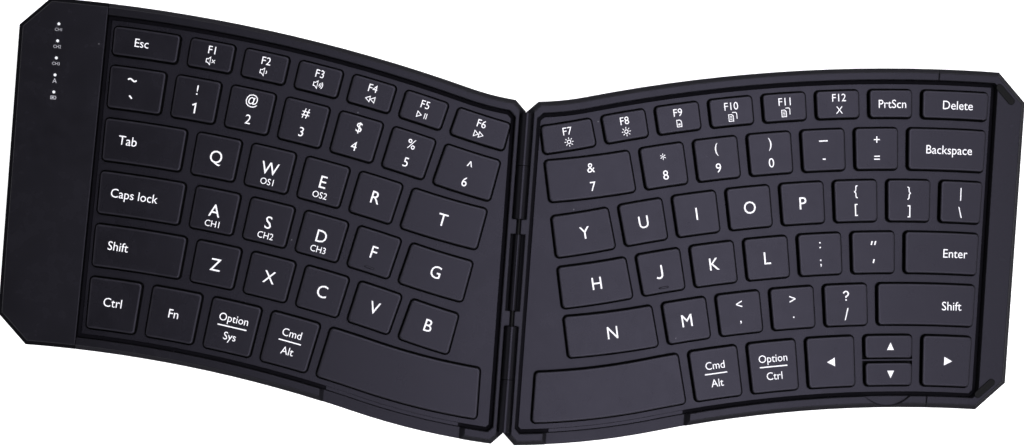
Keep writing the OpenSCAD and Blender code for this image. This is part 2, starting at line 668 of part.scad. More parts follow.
// room for the other half's knuckles, the tube and the pin
module hinge_channel() {
    channel_r = knuckle_r + knuckle_clearance;
    neck_half = pin_r + joint_gap;
    far_y = half_width;
    slot_rear = hinge_mid_y + slot_l / 2;
    slot_front = hinge_mid_y - slot_l / 2;
    translate([0, far_y, axis_z]) rotate([90, 0, 0]) cylinder(r = channel_r, h = far_y - slot_rear - neck_l);
    translate([0, slot_front - neck_l, axis_z]) rotate([90, 0, 0])
        cylinder(r = channel_r, h = far_y + slot_front - neck_l);
    translate([0, slot_rear, axis_z]) rotate([90, 0, 0]) cylinder(r = channel_r, h = slot_l);
    block(-neck_half, over, slot_front - neck_l - over, slot_rear + neck_l + over,
        axis_z - channel_r, axis_z + over);
}
// pockets for the leaves that a half carries
module leaf_pockets(side) {
    for (k = knuckles(side))
        along_y(knuckle_front_ys[k], knuckle_front_ys[k] + knuckle_l) leaf_profile(slack);
}

// ---------- flat cable between the halves ----------
cable_w = 15;
cable_t = 0.15;
cable_gap = 0.12;
cable_floor_gap = 0.15;
cable_post_x = 2.7;
cable_reach = 12;
cable_top_z = axis_z - tube_r - 1.1;
module cable_section(grow) {
    t = cable_t / 2 + grow;
    x0 = cable_post_x;
    low = floor_z + cable_floor_gap + cable_t / 2;
    for (s = [-1, 1]) {
        translate([s * x0 - t, low - t]) square([2 * t, cable_top_z - low + 2 * t]);
        translate([s > 0 ? x0 - t : -cable_reach, low - t]) square([cable_reach - x0 + t, 2 * t]);
    }
    translate([-x0 - t, cable_top_z - t]) square([2 * (x0 + t), 2 * t]);
}
module cable_room(grow) {
    along_y(hinge_mid_y - cable_w / 2 - grow, hinge_mid_y + cable_w / 2 + grow) cable_section(grow);
}
module hinge_flex_cable() color("#a8662c") cable_room(0);

// ---------- base shells ----------
// case screws: two places are measured from the hinge and the rest from the outer side
screw_rear_xs = [-32, -78, 31.5 - half_width];
screw_front_xs = [-58, 49.5 - half_width];
screw_side_ys = [34, -14];
function case_screws() = concat(
    [for (x = screw_rear_xs) [x, rear_y(screw_inset, x)]],
    [for (x = screw_front_xs) [x, front_y(screw_inset, x)]],
    [for (y = screw_side_ys) [screw_inset - half_width, y]]);
boss_r = screw_inset - fit_gap;
screw_grip = 2;
screw_recess = 0.5;
// a foot is [x, y, turn], with y at an inset from the front or the rear outline
outer_foot_x = 19.5 - half_width;
hinge_foot_x = -26;
feet_places = [[outer_foot_x, rear_y(12, outer_foot_x), 0],
               [hinge_foot_x, rear_y(17.8, hinge_foot_x), 15],
               [outer_foot_x, front_y(12.3, outer_foot_x), 0],
               [hinge_foot_x, front_y(14.4, hinge_foot_x), 12]];
foot_seat = 0.3;
module foot_sites() for (f = feet_places) translate([f[0], f[1], 0]) rotate(-f[2]) children();
rib_l = 1;
module plate_ribs(side) {
    intersection() {
        at_arc_centre() for (row = [0:4]) rotate_extrude($fn = arc_fn)
            translate([row_inner(row) - (key_gap + rib_l) / 2, floor_z - slack])
                square([rib_l, rib_h + slack]);
        inside_well(side, plate_inset - rim_w, floor_z, plate_z)
            half_body(plate_inset + over, leaf_reach + 3, floor_z - over, plate_z + over);
    }
}
port_z = floor_z + 2.4;
// the receptacle's place; a piece of the case keeps clear of it by the fit gap
module port_room() {
    block(-half_width - over, port_l + wall_t - half_width,
        port_y - port_w / 2 - fit_gap, port_y + port_w / 2 + fit_gap,
        port_z - port_h / 2 - fit_gap, port_z + port_h / 2 + fit_gap);
}
module base_shell(side) {
    color("#2a292f") half(side) difference() {
        union() {
            difference() {
                half_body(0, seam_gap, base_z, parting_z, [base_bevel, base_bevel]);
                half_body(wall_t, well_hinge_x, floor_z, parting_z + over);
            }
            plate_ribs(side);
            for (p = case_screws()) translate([p[0], p[1], floor_z - slack])
                cylinder(r = boss_r, h = parting_z - floor_z + slack);
            if (side == "left") pod_fittings();
        }
        for (p = case_screws()) translate([p[0], p[1], base_z - over]) {
            cylinder(r = screw_head_r + slack, h = screw_recess + over);
            cylinder(r = screw_r + slack, h = parting_z + over);
        }
        for (k = knuckles(side), y = leaf_screw_ys(knuckle_front_ys[k]))
            translate([leaf_screw_x, y, base_z - over]) {
                cylinder(r = screw_head_r + slack, h = screw_recess + over);
                cylinder(r = screw_r + slack, h = parting_z);
            }
        foot_sites() rounded_bar(foot_l + fit_gap, foot_w + fit_gap, base_z - over, base_z + foot_seat);
        leaf_pockets(side);
        cable_room(cable_gap);
        if (side == "left") port_room();
    }
}
module left_base_shell() base_shell("left");
module right_base_shell() base_shell("right");

// ---------- rims, pod cover and end cap ----------
module rim_ring(side) {
    difference() {
        half_body(0, seam_gap, parting_z, rim_top_z, none, [bevel_w, bevel_h]);
        well_block(side, rim_w, parting_z - over, rim_top_z + over);
        hinge_channel();
        leaf_pockets(side);
        cable_room(cable_gap);
        for (p = case_screws()) translate([p[0], p[1], parting_z - over])
            cylinder(r = screw_r + slack, h = screw_grip + over);
    }
}
// the rim falls to the deck along the front edge, over a ramp at each end
module low_front() {
    along_y(-half_width, front_y(rim_w + over, -low_front_end)) polygon([
        [-low_front_end, deck_z], [-low_front_start, deck_z],
        [-low_front_start + low_front_ramp, rim_top_z + over],
        [-low_front_end - low_front_ramp, rim_top_z + over]]);
}
// the pod's cover forms the outer wall of the left well
pod_seam = well_edge("left") + [0, fit_gap];
module pod_side(gap, z0, z1) at_edge(pod_seam) block(-half_width, gap, 0, 2 * key_arc_r, z0, z1);
module left_rim_frame() {
    color("#2d2c32") difference() {
        rim_ring("left");
        low_front();
        pod_side(0, parting_z - over, rim_top_z + over);
    }
}
function light_sites() = [for (i = [0:4])
    [light_inset - half_width, rear_y(light_rear_inset, light_inset - half_width) - i * light_pitch]];
cover_t = 1.2;
module control_pod_cover() {
    color("#27262b") difference() {
        union() {
            difference() {
                pod_block(0, 0, parting_z);
                intersection() {
                    half_body(wall_t, seam_gap, parting_z - over, rim_top_z - cover_t);
                    pod_side(-joint_gap - cover_t, parting_z - 2 * over, rim_top_z);
                }
            }
            intersection() {
                pod_block(wall_t / 2, -slack, parting_z);
                for (y = screw_side_ys) translate([screw_inset - half_width, y, parting_z])
                    cylinder(r = boss_r, h = rim_top_z - cover_t - parting_z + slack);
            }
        }
        for (y = screw_side_ys) translate([screw_inset - half_width, y, parting_z - over])
            cylinder(r = screw_r + slack, h = screw_grip + over);
        for (p = light_sites()) translate([p[0], p[1], parting_z])
            cylinder(r = light_r + slack, h = rim_top_z);
        port_room();
    }
}
// the cover's outer form
module pod_block(inset, gap, z0) intersection() {
    half_body(inset, seam_gap, z0, rim_top_z, none, [bevel_w, bevel_h]);
    pod_side(gap - joint_gap, z0 - over, rim_top_z + over);
}
// the end cap takes the outer side of the right rim
module cap_zone(gap, z0, z1) {
    block(-half_width - over, end_cap_rear_w - half_width - gap, 0, half_width, z0, z1);
    block(-half_width - over, end_cap_front_w - half_width - gap, -half_width, 0, z0, z1);
}
function bumper_sites() = [[rear_y(0, corner_cut - half_width) - corner_cut, 1],
                           [front_y(0, corner_cut - half_width) + corner_cut, -1]];
magnet_y = -4;
bumper_depth = 0.8;
bumper_inset = 3.1;
module bumper_places() for (b = bumper_sites())
    translate([corner_cut / 2 - half_width, b[0] + b[1] * corner_cut / 2, 0])
        rotate(b[1] * 45) translate([0, -b[1] * bumper_inset, 0]) children();
notch_sag_r = (notch_w * notch_w / 4 + notch_d * notch_d) / (2 * notch_d);
notch_x = notch_inset - half_width;
module finger_notch() translate([notch_x, front_y(rim_w - notch_d, notch_x) + notch_sag_r,
    rim_top_z - notch_depth]) cylinder(r = notch_sag_r, h = notch_depth + over, $fn = notch_fn);
module right_rim_frame() {
    color("#2d2c32") half("right") difference() {
        rim_ring("right");
        low_front();
        finger_notch();
        cap_zone(0, parting_z - over, rim_top_z + over);
    }
}
module magnet_site() translate([magnet_inset - half_width, magnet_y, 0]) children();
module right_end_cap() {
    color("#2d2c32") half("right") difference() {
        intersection() {
            rim_ring("right");
            cap_zone(joint_gap, parting_z - over, rim_top_z + over);
        }
        bumper_places() rounded_bar(bumper_l + fit_gap, bumper_w + fit_gap,
            rim_top_z - bumper_depth, rim_top_z + over);
        magnet_site() translate([0, 0, rim_top_z - cover_t - magnet_t - slack - over])
            cylinder(r = magnet_r + slack, h = magnet_t + slack + over);
        magnet_site() translate([0, 0, parting_z - over])
            cylinder(r = magnet_r + slack, h = rim_top_z - cover_t - parting_z);
    }
}
module right_bumpers() {
    color("#1b1b1e") half("right") bumper_places()
        rounded_bar(bumper_l, bumper_w, rim_top_z - bumper_depth, rim_top_z + fit_gap);
}
module magnets(side) color("silver") half(side) magnet_site()
    translate([0, 0, rim_top_z - cover_t - magnet_t]) cylinder(r = magnet_r, h = magnet_t);
module left_magnets() magnets("left");
module right_magnets() magnets("right");

// ---------- decks ----------
module key_openings(side) difference() {
    for (key = all_keys(side)) key_plan(key, key_clearance);
    if (side == "right") arrow_bar();
}
// the bar of the deck between the up and the down arrow
module arrow_bar() {
    l = key_width(arrow_cell) + 4 * key_clearance;
    w = arrow_gap - 2 * key_clearance;
    at_key(arrow_cell) translate([-l / 2, -w / 2]) square([l, w]);
}
module key_deck(side) {
    color("#222127") half(side) difference() {
        well_block(side, deck_inset, floor_z, deck_z);
        well_block(side, skirt_inset, floor_z - over, deck_z - deck_t);
        difference() {
            well_block(side, deck_inset - over, deck_z - deck_step, deck_z + over);
            well_block(side, skirt_inset, deck_z - deck_step - over, deck_z + 2 * over);
        }
        translate([0, 0, deck_z - deck_t - over]) linear_extrude(deck_t + 2 * over) key_openings(side);
        leaf_pockets(side);
        cable_room(cable_gap);
    }
}
module left_key_deck() key_deck("left");
module right_key_deck() key_deck("right");
module support_plate(side) color("#8c8f94") half(side)
    well_block(side, plate_inset, plate_z, membrane_z);
module left_support_plate() support_plate("left");
module right_support_plate() support_plate("right");
module membrane(side) color("#cfc9a8") half(side)
    well_block(side, plate_inset + fit_gap, membrane_z, switch_z);
module left_membrane() membrane("left");
module right_membrane() membrane("right");

// ---------- control pod ----------
// the room between the side screws' bosses and the cover's wall along the key well
pod_x0 = screw_inset + boss_r + part_gap - half_width;
function pod_x1(y) = -arc_centre_x + (y - y_shift) * tan(pod_seam[0]) + pod_seam[1]
    - joint_gap - cover_t - part_gap;
board_t = 0.8;
board_z = port_z - board_t / 2;
board_rear_y = rear_y(0, corner_cut - half_width) - corner_cut + pod_x0 + half_width
    - wall_t * sqrt(2) - part_gap;
board_y = board_rear_y - board_l / 2;
board_x = (pod_x0 + pod_x1(board_rear_y - board_l)) / 2;
stop_t = 1;
stop_h = 1.2;
battery_y = board_rear_y - board_l - stop_t - fit_gap - part_gap - fit_gap - battery_l / 2;
battery_x = (pod_x0 + pod_x1(battery_y - battery_l / 2)) / 2;
battery_fold = [1.5, 0.6];
post_r = 1.2;
post_inset = 1.5;
chip_t = 0.9;
led_w = 0.7;
led_t = 0.6;
// posts for the board and a stop at each end of the battery cell
module pod_fittings() {
    for (sx = [-1, 1], sy = [-1, 1])
        translate([board_x + sx * (board_w / 2 - post_inset), board_y + sy * (board_l / 2 - post_inset),
            floor_z - slack]) cylinder(r = post_r, h = board_z - floor_z + slack);
    for (s = [-1, 1]) translate([battery_x, battery_y + s * (battery_l / 2 + fit_gap + stop_t / 2), 0])
        block(-battery_w / 2, battery_w / 2, -stop_t / 2, stop_t / 2, floor_z - slack, floor_z + stop_h);
}
module battery_cell() {
    color("#b8bcc4") translate([battery_x, battery_y, 0]) difference() {
        block(-battery_w / 2, battery_w / 2, -battery_l / 2, battery_l / 2, floor_z, floor_z + battery_t);
        for (s = [-1, 1]) translate([0, s * battery_l / 2, 0])
            block(-battery_w, battery_w, -battery_fold[0], battery_fold[0],
                floor_z + battery_t - battery_fold[1], floor_z + battery_t + over);
    }
}
module control_board() {
    x0 = -board_w / 2;
    x1 = board_w / 2;
    top_z = board_z + board_t;
    color("#1d4a33") {
        translate([board_x, board_y, 0]) {
            difference() {
                block(x0, x1, -board_l / 2, board_l / 2, board_z, top_z);
                translate([-board_x, -board_y, 0]) port_room();
            }
            block(x1 - 8, x1 - 2, -11, -5, top_z, top_z + chip_t);
            block(x1 - 6, x1 - 2, 2, 5, top_z, top_z + chip_t);
        }
        for (p = light_sites()) translate([p[0], p[1], top_z])
            block(-led_w / 2, led_w / 2, -led_w / 2, led_w / 2, 0, led_t);
    }
}
module status_light_pipes() {
    low_z = board_z + board_t + led_t + slack;
    color("white") for (p = light_sites()) translate([p[0], p[1], low_z])
        cylinder(r = light_r, h = rim_top_z - low_z);
}
port_shell_t = 0.3;
port_tongue = 0.7;
port_rear_t = 1;
port_recess = 0.2;
module port_slug(w, h, l) rotate([0, -90, 0]) translate([0, 0, -l]) linear_extrude(l) {
    for (s = [-1, 1]) translate([0, s * (w - h) / 2]) circle(r = h / 2);
    translate([-h / 2, -(w - h) / 2]) square([h, w - h]);
}
module charge_port() {
    color("silver") translate([port_recess - half_width, port_y, port_z]) {
        difference() {
            port_slug(port_w, port_h, port_l);
            translate([-over, 0, 0])
                port_slug(port_w - 2 * port_shell_t, port_h - 2 * port_shell_t, port_l - port_rear_t + over);
        }
        block(port_rear_t, port_l - port_rear_t / 2, (port_h - port_w) / 2 + part_gap,
            (port_w - port_h) / 2 - part_gap, -port_tongue / 2, port_tongue / 2);
    }
}

// ---------- feet and screws ----------
module feet(side) color("#1b1b1e") half(side)
    foot_sites() rounded_bar(foot_l, foot_w, 0, base_z + foot_seat);
module left_feet() feet("left");
module right_feet() feet("right");
screw_head_h = 0.45;
cross_slot = [1.6, 0.3, 0.25];
module screw(length) {
    translate([0, 0, base_z + screw_recess - screw_head_h]) difference() {
        cylinder(r = screw_head_r, h = screw_head_h);
        for (a = [0, 90]) rotate(a) block(-cross_slot[0] / 2, cross_slot[0] / 2,
            -cross_slot[1] / 2, cross_slot[1] / 2, -over, cross_slot[2]);
    }
    translate([0, 0, base_z + screw_recess - slack]) cylinder(r = screw_r, h = length);
}
module screw_set(side) {
    color("#6d6e72") half(side) {
        for (p = case_screws()) translate([p[0], p[1], 0])
            screw(parting_z + screw_grip - base_z - screw_recess - slack);
        for (k = knuckles(side), y = leaf_screw_ys(knuckle_front_ys[k]))
            translate([leaf_screw_x, y, 0]) screw(floor_z + leaf_t - base_z - screw_recess);
    }
}
module left_case_screws() screw_set("left");
module right_case_screws() screw_set("right");

module left_rubber_domes() rubber_domes("left");
module right_rubber_domes() rubber_domes("right");
module left_scissor_links() scissor_links("left");
module right_scissor_links() scissor_links("right");

// ---------- keycaps, by row ----------
module esc_key() single_cap("left", 0, 0);
module left_function_keys() row_caps("left", 0, 1);
module left_number_keys() row_caps("left", 1, 0);
module tab_key() single_cap("left", 2, 0);
module left_upper_keys() row_caps("left", 2, 1);
module caps_lock_key() single_cap("left", 3, 0);
module left_home_keys() row_caps("left", 3, 1, true);
module left_shift_key() single_cap("left", 4, 0);
module left_lower_keys() row_caps("left", 4, 1);
module left_ctrl_key() single_cap("left", 5, 0);
module fn_key() single_cap("left", 5, 1);
module left_option_key() single_cap("left", 5, 2);
module left_cmd_key() single_cap("left", 5, 3);
module left_space_bar() single_cap("left", 5, 4);
module right_function_keys() row_caps("right", 0, 0);
module backspace_key() single_cap("right", 1, 0);
module right_number_keys() row_caps("right", 1, 1);
module right_upper_keys() row_caps("right", 2, 0);
module enter_key() single_cap("right", 3, 0);
module right_home_keys() row_caps("right", 3, 1, true);
module right_shift_key() single_cap("right", 4, 0);
module right_lower_keys() row_caps("right", 4, 1);
module arrow_right_key() single_cap("right", 5, 0);
module arrow_up_key() color("#26252b") half("right") arrow_cap(1);
module arrow_down_key() color("#26252b") half("right") arrow_cap(-1);
module arrow_left_key() single_cap("right", 5, 2);
module right_option_key() single_cap("right", 5, 3);
module right_cmd_key() single_cap("right", 5, 4);
module right_space_bar() single_cap("right", 5, 5);

left_base_shell();
left_rim_frame();
left_key_deck();
control_pod_cover();
status_light_pipes();
left_support_plate();
left_membrane();
left_rubber_domes();
left_scissor_links();
control_board();
battery_cell();
charge_port();
left_feet();
left_case_screws();
left_magnets();
left_hinge_knuckles();
hinge_pin();
hinge_flex_cable();
right_base_shell();
right_rim_frame();
right_key_deck();
right_end_cap();
right_bumpers();
right_support_plate();
right_membrane();
right_rubber_domes();
right_scissor_links();
right_feet();
right_case_screws();
right_magnets();
right_hinge_knuckles();
esc_key();
left_function_keys();
left_number_keys();
tab_key();
left_upper_keys();
caps_lock_key();
left_home_keys();
left_shift_key();
left_lower_keys();
left_ctrl_key();
fn_key();
left_option_key();
left_cmd_key();
left_space_bar();
right_function_keys();
backspace_key();
right_number_keys();
right_upper_keys();
enter_key();
right_home_keys();
right_shift_key();
right_lower_keys();
arrow_left_key();
arrow_up_key();
arrow_down_key();
arrow_right_key();
right_option_key();
right_cmd_key();
right_space_bar();
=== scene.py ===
"""A thin folding keyboard in two halves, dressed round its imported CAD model."""

import json
import math

import bpy
import numpy as np
from mathutils import Matrix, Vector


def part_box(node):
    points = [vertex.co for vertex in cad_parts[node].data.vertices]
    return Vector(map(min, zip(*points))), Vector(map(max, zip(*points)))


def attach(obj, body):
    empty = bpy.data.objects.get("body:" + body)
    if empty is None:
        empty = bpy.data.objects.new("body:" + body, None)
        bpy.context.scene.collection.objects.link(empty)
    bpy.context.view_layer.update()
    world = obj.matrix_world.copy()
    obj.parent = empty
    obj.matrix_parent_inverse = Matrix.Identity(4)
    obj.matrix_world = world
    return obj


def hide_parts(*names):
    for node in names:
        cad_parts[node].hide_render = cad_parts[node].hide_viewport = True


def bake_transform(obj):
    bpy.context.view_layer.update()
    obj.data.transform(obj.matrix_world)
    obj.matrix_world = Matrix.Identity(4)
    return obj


bl_info = {
    "name": "Folding keyboard",
    "version": (1, 0, 0),
    "blender": (4, 5, 0),
    "location": "3D View > Sidebar > Keyboard",
    "description": "Keycaps, legends, finishes and studio for a folding keyboard",
    "category": "Object",
}

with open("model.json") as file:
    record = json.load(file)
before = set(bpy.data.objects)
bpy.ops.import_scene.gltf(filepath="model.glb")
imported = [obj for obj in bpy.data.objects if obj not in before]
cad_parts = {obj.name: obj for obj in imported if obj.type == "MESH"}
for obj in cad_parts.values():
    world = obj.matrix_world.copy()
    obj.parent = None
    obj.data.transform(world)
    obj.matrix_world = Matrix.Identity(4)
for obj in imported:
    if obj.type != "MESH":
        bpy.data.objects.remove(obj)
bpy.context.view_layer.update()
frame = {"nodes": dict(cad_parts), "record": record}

# ---------- the keyboard's plan, in millimetres as in the CAD model ----------
HALF_WIDTH = 143.5
CORNER_CUT, HINGE_CORNER_CUT = 8.2, 3.3
ARC_X, KEY_ARC_R = 138.1, 456.8
ROW_DEPTHS = (7.85, 11.75, 11.75, 11.75, 11.75, 14.3)
FRONT_ROW = 5
ROW_GAP, ARROW_GAP = 3.1, 1.4
KEY_PITCH, FRONT_PITCH = 15.4, 16.7
REAR_MARGIN, FRONT_MARGIN = 6.25, 6.35
# Radius of the front's sweep to the hinge and its start, in degrees about the arc centre.
FRONT_SWEEP = (209.0, 15.0)
# Straight key edges: tilt in degrees and distance at which the line passes the arc centre.
OUTER_SIDES = {"left": (1.2, 11.45), "right": (0.11, 4.65)}
SLANT = (11.1, (ARC_X - 90.13) * math.cos(math.radians(11.1)))
INNER_BEND_R = 250.0
SPACE_BAR_X, SPACE_BAR_TURN = 7.9, -10.5
INNER_WIDTHS = {
    "left": (15.62, 16.5, 22.16, 18.56, 14.32),
    "right": (14.78, 24.5, 16.66, 19.94, 25.62),
}
FRONT_GAPS = {"left": 85.0, "right": 87.65}
KEY_COUNTS = {"left": (7, 7, 6, 6, 6, 5), "right": (8, 7, 8, 7, 6, 6)}
KEY_RADIUS = 1.0
PARTING_Z = 4.6
CAP_BASE_Z, CAP_ROOF_Z, CAP_WALL = 4.85, 6.5, 0.9
DECK_Z, DECK_CLEARANCE, DECK_STEP, SKIRT_WIDTH = 5.3, 0.15, 0.45, 1
KEY_Z = 7.4
RIM_Z, RIM_WIDTH, NOTCH_DEPTH = 8.0, 3.3, 1.5
# Points along a row's arc, along the sweep and round a corner; the least corner radius.
ARC_SAMPLES, SWEEP_SAMPLES, CORNER_STEPS = 7, 12, 5
LEAST_RADIUS = 0.04


def row_outer(row):
    """Outer radius of a key row: the rows step in by their depth and a gap."""
    return KEY_ARC_R - sum(ROW_DEPTHS[:row]) - ROW_GAP * row


def row_inner(row):
    """Inner radius of a key row."""
    return row_outer(row) - ROW_DEPTHS[row]


def row_mid(row):
    """Middle radius of a key row."""
    return (row_outer(row) + row_inner(row)) / 2


def circle_y(radius, x):
    """Height of a circle over its centre at x: the root of radius squared less x squared."""
    return math.sqrt(radius * radius - x * x)


def tilted(tilt):
    """Unit way tilted from the y axis to the x axis: the sine and the cosine of the tilt."""
    return np.array([math.sin(tilt), math.cos(tilt)])


def hub(distance, angle):
    """Arc centre plus the distance along the way tilted by degrees."""
    return np.array([-ARC_X, ARC_Y]) + distance * tilted(math.radians(angle))


REAR_R = KEY_ARC_R + REAR_MARGIN
FRONT_R = row_inner(FRONT_ROW) - FRONT_MARGIN
# The arc centre lies where the outline has the origin halfway between its front and rear.
ARC_Y = 0.0
FRONT_HUB = hub(FRONT_R + FRONT_SWEEP[0], FRONT_SWEEP[1])
ARC_Y = -(circle_y(REAR_R, CORNER_CUT - HALF_WIDTH + ARC_X) + FRONT_HUB[1]
          - circle_y(FRONT_SWEEP[0], -HINGE_CORNER_CUT - FRONT_HUB[0])) / 2
FRONT_HUB = hub(FRONT_R + FRONT_SWEEP[0], FRONT_SWEEP[1])
ARC_CENTRE = np.array([-ARC_X, ARC_Y])


# ---------- outlines ----------
def around(angles):
    """Unit ways at angles from the x axis: their cosines and sines."""
    return np.column_stack([np.cos(angles), np.sin(angles)])


def turning(start, end, steps):
    """Unit ways at equal steps of the angle from one way to another, the shorter way round."""
    a0, a1 = (math.atan2(way[1], way[0]) for way in (start, end))
    a1 += round((a0 - a1) / (2 * math.pi)) * 2 * math.pi
    return around(np.linspace(a0, a1, steps))


class Arc:
    """Side of an outline that runs on a circle, with the inside or the outside kept."""

    def __init__(self, centre, radius, inside, samples):
        self.centre, self.radius = centre, radius
        self.side, self.samples = (1.0 if inside else -1.0), samples

    def inset_radius(self, inset):
        return self.radius - self.side * inset

    def normal(self, point):
        return self.side * (point - self.centre) / np.linalg.norm(point - self.centre)

    def run(self, start, end, inset):
        """Points between two points: the centre plus the radius times equal turns."""
        ways = turning(start - self.centre, end - self.centre, self.samples + 2)
        return self.centre + self.inset_radius(inset) * ways[1:-1]


class Line:
    """Straight side of an outline: a point on it and the angle of its outward normal."""

    def __init__(self, point, normal_angle):
        tilt = math.radians(normal_angle)
        self.point = np.asarray(point, float)
        self.out = np.array([math.cos(tilt), math.sin(tilt)])

    def normal(self, _point):
        return self.out

    def run(self, _start, _end, _inset):
        """A straight side needs no points between its ends."""
        return np.empty((0, 2))


def meet(first, second, inset, hint):
    """The point an inset inside a line and an arc, the one nearer the hint: from a foot on
    the line, root(b^2 - c) - b or minus root(b^2 - c) - b along it."""
    line, arc = (second, first) if isinstance(first, Arc) else (first, second)
    foot = line.point - inset * line.out
    along = np.array([-line.out[1], line.out[0]])
    away = foot - arc.centre
    b, c = along @ away, away @ away - arc.inset_radius(inset) ** 2
    root = math.sqrt(max(b * b - c, 0))
    options = [foot + (s * root - b) * along for s in (-1, 1)]
    return min(options, key=lambda p: np.linalg.norm(p - hint))


class Round:
    """Corner of a key that joins a line and an arc by a small arc, near a hint."""

    def __init__(self, hint):
        self.hint = np.asarray(hint, float)

    def points(self, before, after, inset):
        """Centre of the arc plus its radius times the normals turned from side to side."""
        radius = max(KEY_RADIUS - inset, LEAST_RADIUS)
        centre = meet(before, after, inset + radius, self.hint)
        return centre + radius * turning(before.normal(centre), after.normal(centre),
                                         CORNER_STEPS)


class Tangent:
    """Place where one arc runs smoothly into the next, on a line through the arc centre."""

    def __init__(self, angle):
        self.way = tilted(math.radians(angle))

    def points(self, before, after, inset):
        """The first arc's point on the shared line."""
        arc = before if np.allclose(before.centre, ARC_CENTRE) else after
        return (ARC_CENTRE + arc.inset_radius(inset) * self.way)[None, :]


def ring(chain, inset):
    """Closed outline at an inset: corners in order with the sides' points between.

    A chain lists (corner, side) pairs anticlockwise; each corner joins the side before it
    to its own side, so every inset gives the same number of points."""
    sides = [side for _, side in chain]
    corners = [corner.points(sides[i - 1], sides[i], inset)
               for i, (corner, _) in enumerate(chain)]
    parts = []
    for i, side in enumerate(sides):
        following = corners[(i + 1) % len(sides)]
        parts += [corners[i], side.run(corners[i][-1], following[0], inset)]
    return np.vstack(parts)


def mirrored(points):
    """The right half's copy of a left outline, still anticlockwise."""
    return points[::-1] * np.array([-1.0, 1.0])


# ---------- meshes ----------
def stage_object(name, data):
    """New object of the scene with the data."""
    made = bpy.data.objects.new(name, data)
    bpy.context.scene.collection.objects.link(made)
    return made


def build(name, points, faces, material, flat=False, attributes=None):
    """Object from millimetre points and faces, at the origin, with point attributes."""
    mesh = bpy.data.meshes.new(name)
    mesh.from_pydata((np.asarray(points) * 0.001).tolist(), [], faces)
    for key, values in (attributes or {}).items():
        layer = mesh.attributes.new(key, "FLOAT", "POINT")
        layer.data.foreach_set("value", np.asarray(values, np.float32))
    (mesh.shade_flat if flat else mesh.shade_smooth)()
    mesh.update()
    mesh.materials.append(material)
    return stage_object(name, mesh)


def loft(rings):
    """Skin over equal rings of points: quads between neighbours and a face at each end."""
    count, last = len(rings[0]), len(rings) - 1
    i = np.arange(count)
    base = (np.arange(last) * count)[:, None]
    j = (i + 1) % count
    quads = np.stack([base + i, base + j, base + count + j, base + count + i], axis=-1)
    ends = [i[::-1].tolist(), (i + last * count).tolist()]
    return np.vstack(rings), quads.reshape(-1, 4).tolist() + ends


def level(outline, z):
    """A flat outline lifted to a height."""
    return np.column_stack([outline, np.full(len(outline), z)])


def joined(parts):
    """Several (points, faces) as one, with the faces renumbered."""
    points, faces, start = [], [], 0
    for part_points, part_faces in parts:
        points.append(part_points)
        faces += [[start + v for v in face] for face in part_faces]
        start += len(part_points)
    return np.vstack(points), faces


def turned(x, y, turn):
    """A place turned by degrees: x cos - y sin, then x sin + y cos."""
    spin = math.radians(turn)
    return np.array([x * math.cos(spin) - y * math.sin(spin),
                     x * math.sin(spin) + y * math.cos(spin)])


def stood(points, centre, turn, spot=(0.0, 0.0)):
    """Points of a key's own frame, moved to a spot on it, turned and moved to its centre."""
    plan = turned(points[:, 0] + spot[0], points[:, 1] + spot[1], turn)
    return np.column_stack([plan.T + centre, points[:, 2]])


def keep_flats_flat(piece):
    """Lets large flat faces rule the shading next to small fillets."""
    shading = piece.modifiers.new("flat faces", "WEIGHTED_NORMAL")
    shading.mode = "FACE_AREA"
    shading.weight = 100
    shading.keep_sharp = True


# ---------- keys ----------
def edge_point(edge, radius):
    """Point of a key edge (tilt, reach) on a circle about the arc centre."""
    return ARC_CENTRE + radius * tilted(math.radians(edge[0]) + math.asin(edge[1] / radius))


def edge_tilt(edge, radius):
    """Angle of an edge's point at a distance from the arc centre, in degrees."""
    return edge[0] + math.degrees(math.asin(edge[1] / radius))


def last_gap(side, row):
    """Distance along a row's middle to the gap beside the key nearest the hinge."""
    if row == FRONT_ROW:
        return FRONT_GAPS[side]
    end = math.radians(edge_tilt(SLANT, row_mid(row))) * row_mid(row)
    return end - INNER_WIDTHS[side][row] - ROW_GAP / 2


class Bend:
    """The key beside the hinge: its row's arcs turn the other way about a hub."""

    def __init__(self, row, angle):
        self.reach = row_mid(row) + INNER_BEND_R
        self.angle, self.hub = math.radians(angle), hub(self.reach, angle)

    def arc(self, radius, inside):
        """The bent side that starts on a row's circle."""
        return Arc(self.hub, self.reach - radius, inside, ARC_SAMPLES)

    def turn(self, radius):
        """Angle from the key's outer side to the slanted line, seen from the hub: the lean
        between them less the arc sine of the line's distance from the hub over the radius."""
        lean = self.angle - math.radians(SLANT[0])
        away = self.reach * math.sin(lean) - SLANT[1]
        return lean - math.asin(away / (self.reach - radius))

    def point(self, radius, turn):
        """Hub minus the rest of the reach along the turned line."""
        return self.hub - (self.reach - radius) * tilted(self.angle - turn)


def radial(row, distance):
    """Edge on a line through the arc centre, a distance along the row's middle."""
    return (math.degrees(distance / row_mid(row)), 0.0)


def key_edges(side, row, index):
    """The two edges of a key, outer then inner, as (tilt, reach).

    Keys count from the outer side; the gaps between them lie a pitch apart."""
    count, last = KEY_COUNTS[side][row], last_gap(side, row)
    pitch = FRONT_PITCH if row == FRONT_ROW else KEY_PITCH

    def gap_side(gap, sign):
        return radial(row, last - (count - 2 - gap) * pitch + sign * ROW_GAP / 2)

    outer = OUTER_SIDES[side] if index == 0 else gap_side(index - 1, 1)
    if index < count - 1:
        return outer, gap_side(index, -1)
    return outer, ("space" if row == FRONT_ROW else SLANT)


